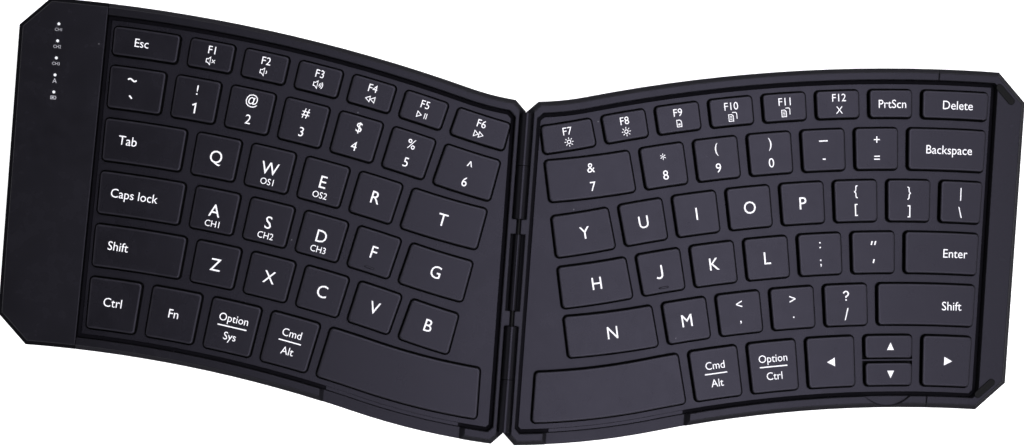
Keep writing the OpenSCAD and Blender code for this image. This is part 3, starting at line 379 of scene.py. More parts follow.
def key_chain(row, outer, inner, radii=None):
    """Outline of one key, as a chain of rounded corners and sides."""
    high, low = radii or (row_outer(row), row_inner(row))
    if inner == SLANT:
        bend = Bend(row, outer[0])
        rear, front = bend.arc(high, False), bend.arc(low, True)
    else:
        rear, front = (Arc(ARC_CENTRE, radius, radius == high, ARC_SAMPLES)
                       for radius in (high, low))
    start = [
        (Round(edge_point(outer, high)), Line(edge_point(outer, high), 180 - outer[0])),
        (Round(edge_point(outer, low)), front),
    ]
    if inner != "space":
        return start + [
            (Round(edge_point(inner, low)), Line(edge_point(inner, high), -inner[0])),
            (Round(edge_point(inner, high)), rear),
        ]
    low_arc, high_arc = (
        Arc(FRONT_HUB, FRONT_SWEEP[0] - (radius - FRONT_R), radius == low, SWEEP_SAMPLES)
        for radius in (low, high))
    low_end, high_end = (
        (-SPACE_BAR_X, FRONT_HUB[1] - circle_y(arc.radius, FRONT_HUB[0] + SPACE_BAR_X))
        for arc in (low_arc, high_arc))
    return start + [
        (Tangent(FRONT_SWEEP[1]), low_arc),
        (Round(low_end), Line((-SPACE_BAR_X, 0), 0)),
        (Round(high_end), high_arc),
        (Tangent(FRONT_SWEEP[1]), rear),
    ]


def key_place(side, row, index):
    """Centre and turn of a key: halfway between its edges, square to the arc there."""
    outer, inner = key_edges(side, row, index)
    middle = row_mid(row)
    if inner == "space":
        radius = FRONT_SWEEP[0] - ROW_DEPTHS[row] / 2 - FRONT_MARGIN
        x = (edge_point(outer, middle)[0] - SPACE_BAR_X) / 2
        centre = np.array([x, FRONT_HUB[1] - circle_y(radius, FRONT_HUB[0] - x)])
        turn = SPACE_BAR_TURN
    elif inner == SLANT:
        bend = Bend(row, outer[0])
        half = bend.turn(middle) / 2
        turn, centre = math.degrees(half - bend.angle), bend.point(middle, half)
    else:
        turn = -(edge_tilt(outer, middle) + edge_tilt(inner, middle)) / 2
        centre = edge_point((-turn, 0.0), middle)
    if side == "right":
        return centre * np.array([-1.0, 1.0]), -turn
    return centre, turn


# Painted highlight on the caps' rounded edges, which also stands for rubbed wear: how far it
# reaches down the flank and in on the top, and the flank's share.
HIGHLIGHT_AND_WEAR_DROP, HIGHLIGHT_AND_WEAR_INSET, FLANK_HIGHLIGHT_AND_WEAR = 0.5, 0.35, 0.3
FILLET_STEPS = 5


def keycap(chain, side, fillet):
    """One hollow cap and its share of the painted edge highlight, which also stands for wear.

    The profile runs from the roof's underside down the inner wall, up the outer wall and round
    a quarter circle to the top: inset = fillet (1 - cos t), height = top - fillet (1 - sin t)."""
    turn = np.linspace(0, math.pi / 2, FILLET_STEPS)
    rounding = [(fillet * (1 - math.cos(t)), KEY_Z - fillet * (1 - math.sin(t)), 1.0)
                for t in turn]
    profile = [(CAP_WALL, CAP_ROOF_Z, 0.0), (CAP_WALL, CAP_BASE_Z, 0.0), (0.0, CAP_BASE_Z, 0.0),
               (0.0, KEY_Z - fillet - HIGHLIGHT_AND_WEAR_DROP, FLANK_HIGHLIGHT_AND_WEAR), *rounding,
               (fillet + HIGHLIGHT_AND_WEAR_INSET, KEY_Z, 0.0)]
    outlines = {inset: ring(chain, inset) for inset, _, _ in profile}
    if side == "right":
        outlines = {inset: mirrored(points) for inset, points in outlines.items()}
    points, faces = loft([level(outlines[inset], z) for inset, z, _ in profile])
    share = np.repeat([value for _, _, value in profile], len(points) // len(profile))
    return points, faces, share


HOME_KEYS = (("left", 3, 4), ("right", 3, 5))
HOME_BAR = (3.0, 0.6, 0.2)
# Home bar place and sink, then its share of the painted edge highlight, which also stands for
# wear.
HOME_BAR_Y, HOME_BAR_SINK, HOME_BAR_HIGHLIGHT_AND_WEAR = 1.35, 0.01, 0.6


def home_bar(side, row, index):
    """Raised bar near the front of a home key: half an ellipse, width / 2 cos t across and
    height sin t up, times the root of 1 - along^8 from end to end."""
    centre, turn = key_place(side, row, index)
    length, width, height = HOME_BAR
    t = np.linspace(0, math.pi, 7)
    along = np.linspace(-1, 1, 9)
    narrow = np.sqrt(np.clip(1 - np.abs(along) ** 8, 0.04, 1))
    x = np.repeat(along * length / 2, len(t))
    y = np.outer(narrow, width / 2 * np.cos(t)).ravel() - ROW_DEPTHS[row] / 2 + HOME_BAR_Y
    z = np.outer(narrow, height * np.sin(t)).ravel() + KEY_Z - HOME_BAR_SINK
    points = stood(np.column_stack([x, y, z]), centre, turn)
    return loft(points.reshape(len(along), len(t), 3)[:, ::-1])


def cap_nodes():
    """Every cap node with the keys in it, as {node: [(side, row, index), ...]}."""
    rows = ("function", "number", "upper", "home", "lower")
    ends = {"left": ("esc", None, "tab", "caps_lock", "left_shift"),
            "right": (None, "backspace", None, "enter", "right_shift")}
    fronts = {"left": "left_ctrl_key fn_key left_option_key left_cmd_key left_space_bar",
              "right": "arrow_right_key arrow_up_key arrow_left_key right_option_key "
                       "right_cmd_key right_space_bar"}
    nodes = {}
    for side in ("left", "right"):
        for row, (name, first) in enumerate(zip(rows, ends[side])):
            keys = [(side, row, i) for i in range(KEY_COUNTS[side][row])]
            if first:
                nodes[first + "_key"] = keys[:1]
            nodes[f"{side}_{name}_keys"] = keys[1 if first else 0:]
        for i, name in enumerate(fronts[side].split()):
            nodes[name] = [(side, FRONT_ROW, i)]
    nodes["arrow_down_key"] = [("right", FRONT_ROW, 1)]
    return nodes


ARROW_Y = (ROW_DEPTHS[FRONT_ROW] + ARROW_GAP) / 4
ARROW_SPOTS = {"arrow_up_key": ARROW_Y, "arrow_down_key": -ARROW_Y}


def cap_chain(node, side, row, index):
    """A key's outline; the two arrows that share a cell take half of its depth each."""
    outer, inner = key_edges(side, row, index)
    middle = row_mid(row)
    radii = {"arrow_up_key": (row_outer(row), middle + ARROW_GAP / 2),
             "arrow_down_key": (middle - ARROW_GAP / 2, row_inner(row))}.get(node)
    return key_chain(row, outer, inner, radii)


# ---------- links, domes, the flat cable and the front sills ----------
# Height of the switch film, and of a cap's underside when its key is pressed home.
SWITCH_Z, PRESSED_Z = 3.15, 4.95
LINK_LENGTH, LINK_BAR, LINK_PLAY, LINK_MAX_WIDTH = 8.6, 0.5, 0.3, 7.8
SWITCH_ROOM = 2.6
SPACE_LINK_X = 12.0
# Foot and neck as shares of a link's width and of the foot; heights of the flank's bends.
DOME_FOOT, DOME_SPARE, DOME_NECK, DOME_SIDES = 0.3, 0.3, 0.6, 24
DOME_BENDS, DOME_SWELL, DOME_BEVEL = (0.3, 0.55, 0.9), 0.25, 0.15
CABLE_THICKNESS, CABLE_POST_X, CABLE_STEPS = 0.15, 2.7, 12
LOW_FRONT, SILL_GAP, SILL_STEPS = (-50.9, -12.9), 0.03, 48


def switch_places(side):
    """Every link and dome of one half: its key's centre and turn, its place on it, its width."""
    spots = {node: [(0.0, y)] for node, y in ARROW_SPOTS.items()}
    spots[side + "_space_bar"] = [(-SPACE_LINK_X, 0.0), (SPACE_LINK_X, 0.0)]
    places = []
    for node, keys in cap_nodes().items():
        for key_side, row, index in keys:
            if key_side == side:
                depth = ROW_DEPTHS[row]
                if node in ARROW_SPOTS:
                    depth = (depth - ARROW_GAP) / 2
                width = min(LINK_MAX_WIDTH, depth - SWITCH_ROOM)
                centre, turn = key_place(side, row, index)
                places += [(centre, turn, spot, width) for spot in spots.get(node, [(0.0, 0.0)])]
    return places


def link_frame(width, rail, tilt):
    """A flat square ring turned about the y axis, x cos + z sin and z cos - x sin, and raised
    to the middle of the gap that a pressed key leaves."""
    corners = np.array([(-1.0, -1.0), (1.0, -1.0), (1.0, 1.0), (-1.0, 1.0)])
    outer = corners * [(LINK_LENGTH - LINK_BAR) / 2, width / 2]
    inner = corners * [LINK_LENGTH / 2 - 2 * LINK_BAR, width / 2 - rail]
    half = LINK_BAR / 2
    x, y, z = np.vstack([level(outer, -half), level(outer, half),
                         level(inner, half), level(inner, -half)]).T
    faces = [[4 * i + j, 4 * i + (j + 1) % 4, 4 * ((i + 1) % 4) + (j + 1) % 4,
              4 * ((i + 1) % 4) + j] for i in range(4) for j in range(4)]
    middle = (SWITCH_Z + PRESSED_Z) / 2
    return np.column_stack([x * math.cos(tilt) + z * math.sin(tilt), y,
                            z * math.cos(tilt) - x * math.sin(tilt) + middle]), faces


def scissor_links(side):
    """Crossed link frames under each key, as low as a key that is pressed home leaves them."""
    tilt = math.asin((PRESSED_Z - SWITCH_Z - 1.2 * LINK_BAR) / LINK_LENGTH)
    parts = []
    for centre, turn, spot, width in switch_places(side):
        rail = width / 10
        for wide, lean in ((width, tilt), (width - 2 * rail - LINK_PLAY, -tilt)):
            points, faces = link_frame(wide, rail, lean)
            parts.append((stood(points, centre, turn, spot), faces))
    return parts


def rubber_domes(side):
    """A foot, a soft flank and a neck turned about an upright axis: each ring is its radius
    times the cosine and the sine of the angle, at its height."""
    circle = around(np.linspace(0, 2 * math.pi, DOME_SIDES + 1)[:-1])
    low, middle, high = (SWITCH_Z + bend for bend in DOME_BENDS)
    parts = []
    for centre, turn, spot, width in switch_places(side):
        foot = width * DOME_FOOT - DOME_SPARE
        neck = foot * DOME_NECK
        profile = ((foot, SWITCH_Z), (foot, low), (neck + DOME_SWELL, middle), (neck, high),
                   (neck, PRESSED_Z - DOME_BEVEL), (neck - DOME_BEVEL, PRESSED_Z))
        points, faces = loft([level(circle * radius, z) for radius, z in profile])
        parts.append((stood(points, centre, turn, spot), faces))
    return parts


def flat_cable():
    """The ribbon between the halves: low in both, up two sides and over the hinge gap. Each
    point of its path is set out by half the thickness, up and down the path's normal."""
    low, high = (np.array(corner) * 1000 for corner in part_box("hinge_flex_cable"))
    half = CABLE_THICKNESS / 2
    floor_z, top_z = low[2] + half, high[2] - half
    bends = np.array([(-high[0], floor_z), (-CABLE_POST_X, floor_z), (-CABLE_POST_X, top_z),
                      (CABLE_POST_X, top_z), (CABLE_POST_X, floor_z), (high[0], floor_z)])
    path = np.vstack([np.linspace(a, b, CABLE_STEPS, endpoint=False)
                      for a, b in zip(bends, bends[1:])] + [bends[-1:]])
    along = np.gradient(path, axis=0)
    along /= np.linalg.norm(along, axis=1)[:, None]
    across = np.column_stack([-along[:, 1], along[:, 0]]) * half
    corners = ((-1, low[1]), (1, low[1]), (1, high[1]), (-1, high[1]))
    lines = [np.insert(path + way * across, 1, y, axis=1) for way, y in corners]
    return loft(np.stack(lines, axis=1))


def front_line(x, inset):
    """Front edge at an inset: the sweep's circle near the hinge, the rows' circle beyond it,
    each as its centre's y less or plus the root of the radius squared less x squared."""
    sweep = FRONT_HUB[1] - np.sqrt((FRONT_SWEEP[0] - inset) ** 2 - (FRONT_HUB[0] - x) ** 2)
    rows = ARC_Y + np.sqrt((FRONT_R + inset) ** 2 - (x + ARC_X) ** 2)
    return np.where(x > hub(FRONT_R, FRONT_SWEEP[1])[0], sweep, rows)


def front_sill(side):
    """The strip that fills the deck's step along the lowered front, between two insets."""
    x = np.linspace(*LOW_FRONT, SILL_STEPS)
    inset = RIM_WIDTH + DECK_CLEARANCE
    front = front_line(x, inset + SILL_GAP)
    rear = front_line(x, inset + SKIRT_WIDTH - SILL_GAP)
    low = DECK_Z - DECK_STEP + SILL_GAP
    way = -1 if side == "right" else 1
    lines = [level(np.column_stack([way * x, y]), z)
             for y, z in ((front, low), (rear, low), (rear, DECK_Z), (front, DECK_Z))]
    return loft(np.stack(lines, axis=1)[::way])


# ---------- legends ----------
# An entry is a sign or a word, its x and y in the key's own frame and its height.
def pair(high, low, sizes=(2.9, 2.8)):
    """Two signs, one over the other."""
    return [(high, 0, 2.6, sizes[0]), (low, 0, -2.6, sizes[1])]


def function_keys(labels, signs):
    """Function keys: a number over a sign."""
    return [[(label, 0, 1.6, 2.3), (sign, 0, -1.6, 2.2)] for label, sign in zip(labels, signs)]


def letters(signs):
    """Letter keys."""
    return [[(sign, 0, 0.1, 3.7)] for sign in signs]


def mode_keys(signs, modes):
    """Letter keys with a small word below each letter."""
    return [[(sign, 0, 0.1, 3.7), (mode, 0, -3.7, 1.9)] for sign, mode in zip(signs, modes)]


def shifted(entries, x, y):
    """The same signs, moved on their key."""
    return [(kind, x0 + x, y0 + y, size) for kind, x0, y0, size in entries]


def stacked(high, low, bar):
    """Two words with a line between them."""
    return [(high, 0, 2.45, 2.3), ("line", 0, 0, bar), (low, 0, -2.6, 2.3)]


LEGENDS = {
    ("left", 0): [
        [("Esc", -1.2, 0.2, 2.5)],
        *function_keys(("F1", "F2", "F3", "F4", "F5"), ("mute", "quiet", "loud", "back", "play")),
        shifted(*function_keys(["F6"], ["next"]), -0.2, 0)],
    ("left", 1): [
        [("tilde", -1.4, 2.5, 2.4), ("grave", -1.2, -2.4, 2.4)],
        *map(pair, "!@#$%^", ("one", *"23456"))],
    ("left", 2): [
        [("Tab", -4.55, 0.3, 2.7)], *letters("Q"), *mode_keys("WE", ("OS1", "OS2")),
        *letters("R"), shifted(*letters("T"), -0.4, -0.2)],
    ("left", 3): [
        [("Caps lock", -1.8, 0.2, 2.6)], *mode_keys("ASD", ("CH1", "CH2", "CH3")),
        *letters("F"), shifted(*letters("G"), -0.2, 0.2)],
    ("left", 4): [
        [("Shift", -5.8, 0.3, 2.6)], *letters("ZXCV"), shifted(*letters("B"), -0.35, 0.3)],
    ("left", 5): [
        [("Ctrl", -0.3, 0.7, 2.6)], [("Fn", 0, 0.4, 2.6)], stacked("Option", "Sys", 8.3),
        stacked("Cmd", "Alt", 6.5), []],
    ("right", 0): [
        [("Delete", 0.7, 0, 2.6)], [("PrtScn", 0.4, 0, 2.5)],
        [("F12", 0.35, 2.0, 2.3), ("X", 0.35, -1.55, 2.2)],
        *function_keys(("F11", "F10", "F9", "F8", "F7"),
                       ("copy", "copy", "page", "bright", "bright"))],
    ("right", 1): [
        [("Backspace", 0.65, 0, 2.6)], *map(pair, ("+", "dash", ")", "(", "*"), "=-098"),
        shifted(pair("&", "7"), 0.5, 0)],
    ("right", 2): [
        shifted(pair("|", "\\", sizes=(2.9, 3.3)), -0.2, -0.4), shifted(pair("}", "]"), 0, -0.5),
        pair("{", "["), *letters("POIU"), shifted(*letters("Y"), 0.46, 0)],
    ("right", 3): [
        [("Enter", 4.0, 0, 2.6)], pair("quotes", "quote"), pair(":", ";"),
        *letters(("L", "K", "hook")), shifted(*letters("H"), 0.5, 0)],
    ("right", 4): [
        [("Shift", 7.4, -0.3, 2.6)], pair("query", "/", sizes=(2.7, 3.6)), pair(">", "."),
        pair("<", ","), *letters("M"), shifted(*letters("N"), 0.45, 0)],
    ("right", 5): [
        [("right", 0.3, 0, 2.5)], [], [("left", 0, 0, 2.5)],
        stacked("Option", "Ctrl", 8.0), stacked("Cmd", "Alt", 6.5), []],
}
SHARED_LEGENDS = {"arrow_up_key": [("up", 0.5, ARROW_Y, 2.4)],
                  "arrow_down_key": [("down", 0.5, -ARROW_Y, 2.4)]}
CAPITAL_HEIGHT, WORD_WIDTH = 0.73, 0.93
INK_BOTTOM = -0.006
INK_TOP = 0.02


def ribbon(path, width, closed=False):
    """Flat stroke of even width along a path: each point set out to both sides along the mean
    normal, by half the width over the cosine of half the turn."""
    path = np.asarray(path, float)
    after = np.roll(path, -1, 0) - path
    before = path - np.roll(path, 1, 0)
    if not closed:
        after[-1], before[0] = before[-1], after[0]
    unit = [v / np.linalg.norm(v, axis=1, keepdims=True) for v in (before, after)]
    mean = unit[0] + unit[1]
    mean /= np.linalg.norm(mean, axis=1, keepdims=True)
    spread = width / 2 / np.maximum((mean * unit[1]).sum(1), 0.5)
    normal = np.column_stack([-mean[:, 1], mean[:, 0]]) * spread[:, None]
    points = np.vstack([path + normal, path - normal])
    n = len(path)
    steps = range(n if closed else n - 1)
    return points, [[i, n + i, n + (i + 1) % n, (i + 1) % n] for i in steps]


def arc_path(x, y, radius, start, end, steps=9):
    """Points on a circle between two angles in degrees."""
    return around(np.radians(np.linspace(start, end, steps))) * radius + [x, y]


# Filled arrows of size one, anticlockwise.
ARROWS = {"right": ((-0.42, -0.5), (0.5, 0), (-0.42, 0.5)),
          "left": ((-0.5, 0), (0.42, -0.5), (0.42, 0.5)),
          "up": ((-0.42, -0.4), (0.42, -0.4), (0, 0.5)),
          "down": ((0.42, 0.4), (-0.42, 0.4), (0, -0.5))}
THIN, BOLD = 0.22, 0.42


def sign_strokes(size):
    """Every drawn sign of a size, in millimetres, as strokes: path, width and closed or not."""
    half = size / 2

    def sounding(*radii):
        """A loudspeaker and the arcs in front of it."""
        outline = np.array([(-0.5, -0.22), (-0.28, -0.22), (0, -0.5), (0, 0.5), (-0.28, 0.22),
                            (-0.5, 0.22)]) * size
        return [(outline, THIN, True)] + [(arc_path(0, 0, r, -38, 38), THIN) for r in radii]

    def playing(flip, *places):
        """Triangles at places along the sign."""
        triangle = np.array([(-0.55, -0.8), (0.65, 0), (-0.55, 0.8)]) * size / 2.2
        return [((triangle + [x, 0]) * [flip, 1], THIN, True) for x in places]

    rays = around(np.radians(np.arange(0, 360, 45)))
    sheet = np.array([(-0.65, -0.95), (0.65, -0.95), (0.65, 0.5), (0.2, 0.95), (-0.65, 0.95)])
    wave = np.linspace(-half, half, 13)
    return {
        "line": [([(-half, 0), (half, 0)], 0.34)],
        "dash": [([(-1.25, 0), (1.25, 0)], 0.36)],
        "mute": sounding() + [([(0.5, -0.45 * s), (1.3, 0.45 * s)], THIN) for s in (-1, 1)],
        "quiet": sounding(0.7),
        "loud": sounding(0.6, 1.05, 1.5),
        "back": playing(-1, -0.75, 0.65),
        "next": playing(1, -0.75, 0.65),
        "play": playing(1, -0.9) + [([(x, -0.8), (x, 0.8)], THIN) for x in (0.75, 1.3)],
        "bright": [(arc_path(0, 0, 0.5, 0, 330, 12), THIN, True)]
        + [([ray * 0.85, ray * 1.3], THIN) for ray in rays],
        "page": [(sheet, THIN, True), ([(-0.3, -0.3), (0.3, -0.3)], 0.5)],
        "copy": [(sheet - [0.35, 0.2], THIN, True),
                 ([(0.1, 1.3), (1.05, 1.3), (1.35, 1.0), (1.35, -0.6)], THIN)]
        + [([(-0.7, y - 0.2), (0, y - 0.2)], 0.16) for y in (-0.45, 0.0, 0.4)],
        "one": [(np.array([(-0.24, 0.3), (0.07, 0.48), (0.07, -0.5)]) * size, 0.4)],
        "hook": [(np.vstack([[(0.24, half)], arc_path(0.24 - 0.25 * size, -0.24 * size,
                                                      0.25 * size, 0, -140, 8)]), 0.5)],
        "tilde": [(np.column_stack([wave, -0.32 * np.sin(wave / half * math.pi)]), BOLD)],
        "grave": [([(-0.45, 0.5), (0.35, -0.3)], BOLD)],
        "quote": [([(0.15, 0.65), (-0.15, -0.45)], 0.4)],
        "quotes": [([(x + 0.15, 0.65), (x - 0.15, -0.45)], 0.4) for x in (-0.5, 0.5)],
        "query": [(np.vstack([arc_path(0, 0.22 * size, 0.26 * size, 170, -50, 10),
                              [(0, -0.06 * size), (0, -0.2 * size)]]), 0.38),
                  ([(0, -0.36 * size), (0, -half)], BOLD)],
        "cell": [([(-0.75, -0.4), (0.6, -0.4), (0.6, 0.4), (-0.75, 0.4)], 0.16, True),
                 ([(0.6, 0), (0.82, 0)], 0.4), ([(-0.5, 0), (0.1, 0)], 0.4)],
    }


def thickened(points, faces):
    """Flat faces as a thin closed plate: the same faces below, turned over, and walls."""
    n = len(points)
    solid = np.vstack([level(points, INK_TOP), level(points, INK_BOTTOM)])
    edges = dict.fromkeys(edge for face in faces for edge in zip(face, face[1:] + face[:1]))
    walls = [[b, a, n + a, n + b] for a, b in edges if (b, a) not in edges]
    below = [[n + v for v in face[::-1]] for face in faces]
    return solid, faces + below + walls


def lettering(word, size):
    """A word as flat mesh, its capitals as high as asked, centred on the origin."""
    curve = bpy.data.curves.new("lettering", "FONT")
    curve.body = word
    curve.resolution_u = 3
    holder = stage_object("lettering", curve)
    bpy.context.view_layer.update()
    mesh = holder.to_mesh()
    flat = np.empty(len(mesh.vertices) * 3, np.float32)
    mesh.vertices.foreach_get("co", flat)
    points = flat.reshape(-1, 3)[:, :2].astype(float) * size / CAPITAL_HEIGHT
    faces = [list(polygon.vertices) for polygon in mesh.polygons]
    holder.to_mesh_clear()
    bpy.data.objects.remove(holder)
    bpy.data.curves.remove(curve)
    points *= [WORD_WIDTH, 1]
    low, high = points.min(0), points.max(0)
    middle = size / 2 if word.isalnum() or " " in word else (low[1] + high[1]) / 2
    return points - [(low[0] + high[0]) / 2, middle], faces


def legend_shapes(kind, size):
    """Flat shapes of one legend: a filled arrow, a drawn sign or else the word's letters."""
    if kind in ARROWS:
        return [(np.array(ARROWS[kind]) * size, [[0, 1, 2]])]
    strokes = sign_strokes(size).get(kind)
    return [ribbon(*stroke) for stroke in strokes] if strokes else [lettering(kind, size)]


def placed(shapes, spot, turn, z):
    """Flat shapes as thin ink at a spot, turned, on a face at the height."""
    parts = []
    for points, faces in shapes:
        solid, skin = thickened(turned(*points.T, turn).T + spot, faces)
        parts.append((solid + [0, 0, z], skin))
    return parts


def key_legends(node, keys):
    """All ink on one cap node: each entry sits at its place in the key's own frame."""
    parts = []
    for side, row, index in keys:
        centre, turn = key_place(side, row, index)
        for kind, x, y, size in SHARED_LEGENDS.get(node, LEGENDS[side, row][index]):
            parts += placed(legend_shapes(kind, size), centre + turned(x, y, turn), turn, KEY_Z)
    return parts


LIGHT_INSET, LIGHT_REAR_INSET, LIGHT_PITCH = 11.0, 7.3, 4.77
LIGHT_LABELS = (("CH1", 0.9), ("CH2", 0.9), ("CH3", 0.9), ("A", 1.4), ("cell", 0.9))
LABEL_DROP = 1.55


def light_labels():
    """The ink below each status light: a short word or sign on the pod's top face."""
    x = LIGHT_INSET - HALF_WIDTH
    rear = ARC_Y + circle_y(REAR_R, x + ARC_X) - LIGHT_REAR_INSET
    parts = []
    for i, (label, size) in enumerate(LIGHT_LABELS):
        spot = (x, rear - i * LIGHT_PITCH - LABEL_DROP)
        parts += placed(legend_shapes(label, size), spot, 0, RIM_Z)
    return parts


# ---------- finishes ----------
class Shade:
    """A socket of a material's nodes; + - and * on it add Math nodes."""

    def __init__(self, tree, socket=None):
        self.tree, self.socket = tree, socket

    def node(self, kind, settings=None, sockets=None, output=0):
        """Adds a node: settings first, then its sockets' values or links."""
        added = self.tree.nodes.new(kind)
        for key, value in (settings or {}).items():
            setattr(added, key, value)
        for key, value in (sockets or {}).items():
            if isinstance(value, Shade):
                self.tree.links.new(value.socket, added.inputs[key])
            else:
                added.inputs[key].default_value = value
        return Shade(self.tree, added.outputs[output] if added.outputs else None)

    def maths(self, operation, first, second, third=0.0):
        return self.node("ShaderNodeMath", {"operation": operation},
                         {0: first, 1: second, 2: third})

    def __add__(self, other):
        return self.maths("ADD", self, other)

    def __sub__(self, other):
        return self.maths("SUBTRACT", self, other)

    def __rsub__(self, other):
        return self.maths("SUBTRACT", other, self)

    def __mul__(self, other):
        return self.maths("MULTIPLY", self, other)

    __radd__ = __add__
    __rmul__ = __mul__

    def mix(self, low, high):
        """Colour between two colours by this value."""
        return self.node("ShaderNodeMix", {"data_type": "RGBA"}, {0: self, 6: low, 7: high}, 2)

    def ramp(self, low, high):
        """Share from 0 at the low value to 1 at the high one."""
        return self.node("ShaderNodeMapRange", {"interpolation_type": "SMOOTHSTEP"},
                         {0: self, 1: low, 2: high})

    def specks(self, where, scale, size, rarity):
        """Small round specks, one in some of the cells of a grid of scattered points."""
        cells = {"Vector": where, "Scale": scale}
        near = self.node("ShaderNodeTexVoronoi", None, cells).ramp(size, size * 0.6)
        pick = self.node("ShaderNodeTexVoronoi", None, cells, 1)
        chance = self.node("ShaderNodeSeparateColor", None, {0: pick})
        return near * chance.ramp(rarity, rarity + 0.01)

    def plastic(self, surface, rough, bump, gloss, how):
        """The main shader of a finish, with its fixed values on its own sockets."""
        return self.node("ShaderNodeBsdfPrincipled", None, {
            "Base Color": surface, "Roughness": rough, "Normal": bump, "IOR": 1.46,
            "Metallic": how.get("metallic", 0.0), "Specular IOR Level": gloss,
            "Specular Tint": how.get("sheen_tint", (1.0, 1.0, 1.0, 1.0)),
            "Coat Weight": how.get("coat", 0.0), "Coat Roughness": 0.2})


def tint(colour, factor):
    """A colour made lighter or darker, with full cover."""
    return tuple(min(1.0, c * factor) for c in colour[:3]) + (1.0,)


# The noises of every finish: soft drift, cloud, fine grain and handling marks, each with its
# scale to the metre, detail and roughness.
NOISES = ((22.0, 3.0, 0.5), (260.0, 2.0, 0.5), (2600.0, 1.0, 0.5), (75.0, 4.0, 0.6))
CLOUD_ROUGHER, MARKS_ROUGHER, MARKS_RANGE = 0.08, 0.03, (0.35, 0.7)
GRAIN_HEIGHT = 0.00003
# Dust: scale to the metre, size and rarity of the specks, and their colour.
SPECKS, DUST = (190.0, 0.05, 0.9), (0.16, 0.16, 0.17, 1.0)
# Lift of the colour for the painted edge highlight, which also stands for wear.
EDGE_HIGHLIGHT_AND_WEAR_LIFT = 5.0
# A painted shade's border in millimetres, reach of a flat in metres, added roughness, colour
# spread.
SHADE_BORDER, FLAT_REACH, SHADE_ROUGHER, SHADE_SPREAD = 0.15, 0.00004, 0.3, 0.2
SHEEN = (0.80, 0.77, 1.0, 1.0)
CASE_GLOSS = 0.2
# Painted shade in grooves, walls, slopes and key sides: from and to in millimetres of height,
# gloss and share of the finish's colour.
RIM_PAINTED_SHADE = (PARTING_Z, RIM_Z - 0.1, 0.02, 2.2)
POD_PAINTED_SHADE = (PARTING_Z, RIM_Z - 0.1, 0.0, 1.1)
DECK_PAINTED_SHADE = (0, DECK_Z - 0.05, 0.02, 1.6)
CAP_PAINTED_SHADE = (0, KEY_Z - 0.2, 0.0, 0.3)


def finish(name, colour, roughness, **how):
    """A finished surface. Two soft noises, 0.6 and 0.4 of them, vary the colour; the second
    and the handling marks vary the roughness; a fine grain raises the skin. An edge attribute
    paints a highlight on rounded edges, which also stands for rubbed wear, and dust leaves a
    few pale specks. Between the heights of a shade the surface takes painted shade, matte and
    with a share of the colour, but for the heights of its flats."""
    material = bpy.data.materials.new(name)
    material.use_nodes = True
    tree = material.node_tree
    tree.nodes.clear()
    shade = Shade(tree)
    here = shade.node("ShaderNodeTexCoord", output=3)
    drift, cloud, grain, marks = (
        shade.node("ShaderNodeTexNoise", None,
                   {"Vector": here, "Scale": scale, "Detail": detail, "Roughness": rough})
        for scale, detail, rough in NOISES)
    mottle = drift * 0.6 + cloud * 0.4

    def varied(factor, spread):
        """The colour, made lighter or darker and spread by the soft noises."""
        return mottle.mix(tint(colour, factor * (1 - spread)), tint(colour, factor * (1 + spread)))

    surface = varied(1, how.get("spread", 0.12))
    rough = (roughness + (cloud - 0.5) * CLOUD_ROUGHER
             + marks.ramp(*MARKS_RANGE) * MARKS_ROUGHER)
    if "dust" in how:
        surface = (shade.specks(here, *SPECKS) * how["dust"]).mix(surface, DUST)
    # Painted highlight on rounded edges, with some rubbed wear: the edge attribute lightens the
    # colour.
    if "edge" in how:
        share = shade.node("ShaderNodeAttribute", {"attribute_name": "edge"}, output=2)
        highlight_and_wear = share * (cloud * 0.6 + 0.7) * how["edge"]
        surface = highlight_and_wear.mix(surface, tint(colour, EDGE_HIGHLIGHT_AND_WEAR_LIFT))
    skin = {"Strength": how.get("grain_strength", 0.25), "Distance": GRAIN_HEIGHT,
            "Height": grain}
    if "round" in how:
        skin["Normal"] = shade.node("ShaderNodeBevel", {"samples": 6},
                                    {"Radius": how["round"] * 0.001})
    bump = shade.node("ShaderNodeBump", None, skin)
    shader = shade.plastic(surface, rough, bump, how.get("specular", 0.5), how)
    # Painted shade: between the shade's heights a matte shader with a share of the colour takes
    # over, darkening recesses and slopes; flats at listed heights keep the finish.
    if "shade" in how:
        low, high, gloss, share = how["shade"]
        z = shade.node("ShaderNodeSeparateXYZ", None, {0: here}, 2)
        lit = z.ramp((high - SHADE_BORDER) * 0.001, high * 0.001)
        if low > 0:
            lit = lit + (1.0 - z.ramp(low * 0.001, (low + SHADE_BORDER) * 0.001))
        for flat in how.get("flats", ()):
            lit = lit + shade.maths("COMPARE", z, flat * 0.001, FLAT_REACH)
        painted_shade_shader = shade.plastic(varied(share, SHADE_SPREAD), rough + SHADE_ROUGHER, bump, gloss, how)
        shader = shade.node("ShaderNodeMixShader", None, {0: lit, 1: painted_shade_shader, 2: shader})
    shade.node("ShaderNodeOutputMaterial", None, {"Surface": shader})
    return material


def case_finish(name, gloss=CASE_GLOSS, lift=1.0, **how):
    """A finish of the moulded case, its colour times the lift."""
    colour = tint(bpy.context.scene.keyboard_colours.case, lift)
    return finish(name, colour, 0.25, spread=0.1, round=0.45, dust=0.5, specular=gloss,
                  sheen_tint=SHEEN, **how)


def dress(material, *nodes):
    """Gives every face of CAD nodes one material."""
    for node in nodes:
        slots = frame["nodes"][node].data.materials
        slots.clear()
        slots.append(material)


def body_with(node):
    """The body whose node list holds the node."""
    bodies = frame["record"]["behaviour"]["bodies"]
    return next(body for body, nodes in bodies.items() if node in nodes)


# ---------- what a user may change ----------
class KeyboardSizes(bpy.types.PropertyGroup):
    """Sizes that the dressing adds to the CAD model."""

    key_fillet: bpy.props.FloatProperty(
        name="Key fillet", description="Rounding of the caps' top edges in millimetres",
        default=0.35, min=0.1, max=0.6)


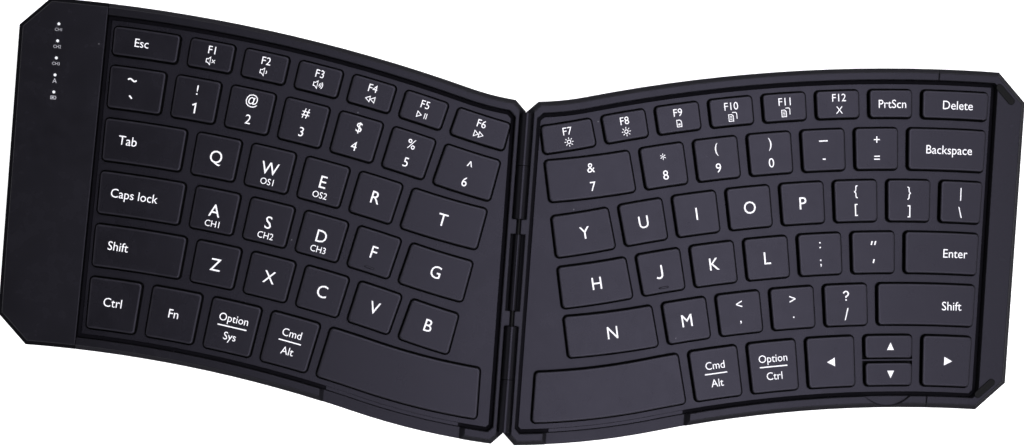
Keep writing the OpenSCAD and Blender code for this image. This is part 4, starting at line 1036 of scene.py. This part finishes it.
def colour_property(name, description, default):
    """A colour that a user may change."""
    return bpy.props.FloatVectorProperty(name=name, description=description, subtype="COLOR",
                                         size=3, default=default)


class KeyboardColours(bpy.types.PropertyGroup):
    """Colours of the visible surfaces."""

    case: colour_property("Case", "Moulded case halves", (0.0040, 0.0039, 0.0048))
    keys: colour_property("Keys", "Keycaps", (0.0038, 0.0036, 0.0046))
    deck: colour_property("Deck", "Sunken surface between the keys", (0.0034, 0.0032, 0.0042))
    ink: colour_property("Legends", "Printed legends", (0.86, 0.86, 0.88))
    hinge: colour_property("Hinge", "Painted hinge barrels", (0.0025, 0.0024, 0.003))


# ---------- operators ----------
class KEYBOARD_OT_case(bpy.types.Operator):
    """Finish the case halves, their trim and feet"""

    bl_idname = "keyboard.case"
    bl_label = "Case"

    def execute(self, context):
        dress(case_finish("moulded case"), "left_base_shell", "right_base_shell")
        # Painted shade: the rim's and pod's walls and slopes and the deck's groove turn matte and
        # darker between the heights of their shades.
        rim = case_finish("moulded rim", gloss=0.16, lift=1.3, shade=RIM_PAINTED_SHADE,
                          flats=(DECK_Z, RIM_Z - NOTCH_DEPTH))
        dress(rim, "left_rim_frame", "right_rim_frame", "right_end_cap")
        dress(case_finish("moulded pod", gloss=0.22, lift=1.2, shade=POD_PAINTED_SHADE),
              "control_pod_cover")
        deck = finish("key deck", context.scene.keyboard_colours.deck, 0.27, spread=0.1,
                      round=0.12, dust=0.6, specular=CASE_GLOSS, shade=DECK_PAINTED_SHADE,
                      sheen_tint=SHEEN)
        for side in ("left", "right"):
            dress(deck, side + "_key_deck")
            sill = build(side + "_front_sill", *front_sill(side), deck, flat=True)
            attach(sill, body_with(side + "_key_deck"))
        rubber = finish("soft rubber", (0.006, 0.006, 0.0065), 0.6, grain_strength=0.5,
                        specular=0.07)
        dress(rubber, "left_feet", "right_feet", "right_bumpers")
        dress(finish("light pipes", (0.8, 0.82, 0.84), 0.3, spread=0.03),
              "status_light_pipes")
        return {"FINISHED"}


# The inner parts: finish, colour, roughness, its other values and the nodes that have it.
WORKS = (
    # The support plate's and the switch film's near-black colours are painted shade, so openings
    # and key gaps show dark.
    ("anodised sheet", (0.03, 0.03, 0.033), 0.45, {"metallic": 1.0},
     "left_support_plate", "right_support_plate"),
    ("switch film", (0.0025, 0.0025, 0.003), 0.6, {"specular": 0.1},
     "left_membrane", "right_membrane"),
    ("solder mask", (0.02, 0.09, 0.045), 0.3, {"coat": 0.4}, "control_board"),
    ("battery foil", (0.55, 0.57, 0.6), 0.4, {"metallic": 0.8}, "battery_cell"),
    ("port steel", (0.6, 0.6, 0.61), 0.28, {"metallic": 1.0}, "charge_port"),
    ("dark screws", (0.09, 0.09, 0.095), 0.4, {"metallic": 1.0},
     "left_case_screws", "right_case_screws"),
    ("nickel", (0.65, 0.64, 0.62), 0.2, {"metallic": 1.0}, "left_magnets", "right_magnets"),
)


class KEYBOARD_OT_works(bpy.types.Operator):
    """Finish the parts inside the case and the fixings"""

    bl_idname = "keyboard.works"
    bl_label = "Inner works"

    def execute(self, context):
        for name, colour, roughness, how, *nodes in WORKS:
            dress(finish(name, colour, roughness, **how), *nodes)
        # Domes and links are near black as painted shade, so the key gaps show dark.
        silicone = finish("smoked silicone", (0.02, 0.02, 0.022), 0.5, specular=0.2)
        acetal = finish("link acetal", (0.012, 0.012, 0.013), 0.4, specular=0.2)
        for side in ("left", "right"):
            for node, parts, material in ((side + "_rubber_domes", rubber_domes(side), silicone),
                                          (side + "_scissor_links", scissor_links(side), acetal)):
                piece = build("low_" + node, *joined(parts), material, flat=True)
                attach(piece, body_with(node))
                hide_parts(node)
        film = finish("dark polyimide", (0.012, 0.009, 0.007), 0.4, specular=0.2)
        cable = build("flat_cable", *flat_cable(), film)
        body_with("left_base_shell")
        body_with("right_base_shell")
        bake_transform(cable)
        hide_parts("hinge_flex_cable")
        return {"FINISHED"}


class KEYBOARD_OT_hinge(bpy.types.Operator):
    """Finish the hinge barrels and the pin"""

    bl_idname = "keyboard.hinge"
    bl_label = "Hinge"

    def execute(self, context):
        barrel = finish("hinge paint", context.scene.keyboard_colours.hinge, 0.28, spread=0.08,
                        specular=CASE_GLOSS, grain_strength=0.1, round=0.1, sheen_tint=SHEEN)
        dress(barrel, "left_hinge_knuckles", "right_hinge_knuckles")
        # The pin's near-black colour is painted shade, standing for the dark slits round it at the
        # necks.
        dress(finish("pin steel", (0.004, 0.004, 0.0045), 0.4, specular=0.08), "hinge_pin")
        return {"FINISHED"}


class KEYBOARD_OT_keycaps(bpy.types.Operator):
    """Build the keycaps with rounded top edges"""

    bl_idname = "keyboard.keycaps"
    bl_label = "Keycaps"

    def execute(self, context):
        fillet = context.scene.keyboard_sizes.key_fillet
        # The caps' sides get painted shade, and their rounded edges a painted highlight that also
        # stands for wear.
        plastic = finish("keycap plastic", context.scene.keyboard_colours.keys, 0.24,
                         spread=0.08, dust=0.35, specular=CASE_GLOSS, edge=0.6,
                         shade=CAP_PAINTED_SHADE, sheen_tint=SHEEN)
        for node, keys in cap_nodes().items():
            parts, shares = [], []
            for side, row, index in keys:
                *part, share = keycap(cap_chain(node, side, row, index), side, fillet)
                parts.append(part)
                shares.append(share)
                if (side, row, index) in HOME_KEYS:
                    parts.append(home_bar(side, row, index))
                    shares.append(np.full(len(parts[-1][0]), HOME_BAR_HIGHLIGHT_AND_WEAR))
            cap = build("cap_" + node, *joined(parts), plastic,
                        attributes={"edge": np.concatenate(shares)})
            keep_flats_flat(cap)
            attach(cap, body_with(node))
            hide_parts(node)
        return {"FINISHED"}


class KEYBOARD_OT_legends(bpy.types.Operator):
    """Print the legends on the keycaps and beside the status lights"""

    bl_idname = "keyboard.legends"
    bl_label = "Legends"

    def execute(self, context):
        ink = finish("legend ink", context.scene.keyboard_colours.ink, 0.5, spread=0.02,
                     grain_strength=0.05)
        pale = finish("label ink", (0.42, 0.42, 0.45), 0.5, spread=0.05)
        prints = [("legends_" + node, node, key_legends(node, keys), ink)
                  for node, keys in cap_nodes().items()]
        prints.append(("light_labels", "control_pod_cover", light_labels(), pale))
        for name, node, parts, material in prints:
            if parts:
                printed = build(name, *joined(parts), material, flat=True)
                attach(printed, body_with(node))
        return {"FINISHED"}


class KEYBOARD_OT_studio(bpy.types.Operator):
    """Set the pale floor, the soft lights and the camera"""

    bl_idname = "keyboard.studio"
    bl_label = "Studio"

    def execute(self, context):
        scene = context.scene
        bpy.ops.mesh.primitive_plane_add(size=FLOOR_SIZE)
        floor = context.object
        floor.name = "floor"
        pale = finish("floor", (0.8, 0.8, 0.8), 0.9, spread=0.004)
        shader = next(n for n in pale.node_tree.nodes if n.type == "BSDF_PRINCIPLED")
        shader.inputs["Emission Color"].default_value = (*WHITE, 1.0)
        shader.inputs["Emission Strength"].default_value = FLOOR_GLOW
        floor.data.materials.append(pale)
        world = bpy.data.worlds.new("studio")
        world.use_nodes = True
        background = world.node_tree.nodes["Background"]
        background.inputs["Color"].default_value = (*WHITE, 1.0)
        background.inputs["Strength"].default_value = WORLD_LIGHT
        scene.world = world
        scene.view_settings.view_transform = "Standard"
        for name, place, aim, size, energy, colour in LIGHTS:
            data = bpy.data.lights.new(name, "AREA")
            data.shape = "RECTANGLE"
            data.size, data.size_y = size
            data.energy, data.color = energy, colour
            stage_object(name, data).matrix_world = look_along(place, np.array(place) - aim)
        data = bpy.data.cameras.new("camera")
        data.sensor_width = SENSOR_WIDTH
        data.lens = CAMERA_FOCUS / IMAGE_WIDTH * SENSOR_WIDTH
        data.clip_start, data.clip_end = 0.01, 20.0
        scene.camera = stage_object("camera", data)
        scene.camera.matrix_world = Matrix.Translation(CAMERA_PLACE) @ camera_turn()
        return {"FINISHED"}


WHITE, LILAC = (1.0, 1.0, 1.0), (0.95, 0.93, 1.0)
ORIGIN, SIDE_SIZE = (0.0, 0.0, 0.0), (2.4, 0.9)
# Place and aim in metres, size in metres, energy in watts and colour of each light.
LIGHTS = (
    ("overhead softbox", (0.26, 0.05, 1.2), (0.26, 0.06, 0.0), (0.74, 1.3), 11.2, LILAC),
    ("overhead strip", (0.235, 0.0, 1.19), (0.235, 0.01, 0.0), (0.3, 1.3), 4.8, LILAC),
    ("left softbox", (-1.25, 0.15, 1.0), ORIGIN, SIDE_SIZE, 7.0, WHITE),
    ("right softbox", (1.35, 0.0, 0.9), ORIGIN, SIDE_SIZE, 9.0, WHITE),
    ("rear softbox", (0.1, 1.3, 1.0), ORIGIN, SIDE_SIZE, 9.0, WHITE),
    ("front softbox", (0.0, -1.3, 1.0), ORIGIN, SIDE_SIZE, 9.0, WHITE),
)
FLOOR_SIZE, FLOOR_GLOW, WORLD_LIGHT = 6.0, 0.8, 0.06
# Focal length and width of the picture in its own points, then the sensor in millimetres.
CAMERA_FOCUS, IMAGE_WIDTH, SENSOR_WIDTH = 2415.44, 1024, 36.0
CAMERA_PLACE = (-0.05237, -0.00106, 0.68964)
CAMERA_ANGLES = (-0.00297, 0.07425, -0.07284)


def camera_turn():
    """Turn of the camera: the inverse of turns about x, then y, then z."""
    ax, ay, az = CAMERA_ANGLES
    turn = Matrix.Rotation(ax, 3, "X") @ Matrix.Rotation(ay, 3, "Y") @ Matrix.Rotation(az, 3, "Z")
    return turn.transposed().to_4x4()


def look_along(place, away):
    """Matrix at a place whose z axis points away from what it looks at."""
    z = np.asarray(away, float)
    x = np.cross((0.0, 0.0, 1.0), z)
    x /= np.linalg.norm(x)
    y = np.cross(z, x)
    return Matrix([[*row, spot] for row, spot in zip(np.column_stack([x, y, z]), place)]
                  + [[0, 0, 0, 1]])


class KEYBOARD_PT_panel(bpy.types.Panel):
    """The keyboard's sizes, colours and steps"""

    bl_idname = "KEYBOARD_PT_panel"
    bl_label = "Folding keyboard"
    bl_space_type = "VIEW_3D"
    bl_region_type = "UI"
    bl_category = "Keyboard"

    def draw(self, context):
        scene = context.scene
        for group in (scene.keyboard_sizes, scene.keyboard_colours):
            for name in type(group).__annotations__:
                self.layout.prop(group, name)
        for operator in OPERATORS:
            self.layout.operator(operator.bl_idname)


OPERATORS = (
    KEYBOARD_OT_case,
    KEYBOARD_OT_works,
    KEYBOARD_OT_hinge,
    KEYBOARD_OT_keycaps,
    KEYBOARD_OT_legends,
    KEYBOARD_OT_studio,
)
CLASSES = (KeyboardSizes, KeyboardColours, *OPERATORS, KEYBOARD_PT_panel)


def register():
    """Adds the classes and the scene's settings."""
    for kind in CLASSES:
        bpy.utils.register_class(kind)
    bpy.types.Scene.keyboard_sizes = bpy.props.PointerProperty(type=KeyboardSizes)
    bpy.types.Scene.keyboard_colours = bpy.props.PointerProperty(type=KeyboardColours)


def unregister():
    """Takes them away again."""
    del bpy.types.Scene.keyboard_colours
    del bpy.types.Scene.keyboard_sizes
    for kind in reversed(CLASSES):
        bpy.utils.unregister_class(kind)


def main():
    """Builds everything in order."""
    register()
    for operator in OPERATORS:
        group, name = operator.bl_idname.split(".")
        getattr(getattr(bpy.ops, group), name)()


if __name__ == "__main__":
    main()
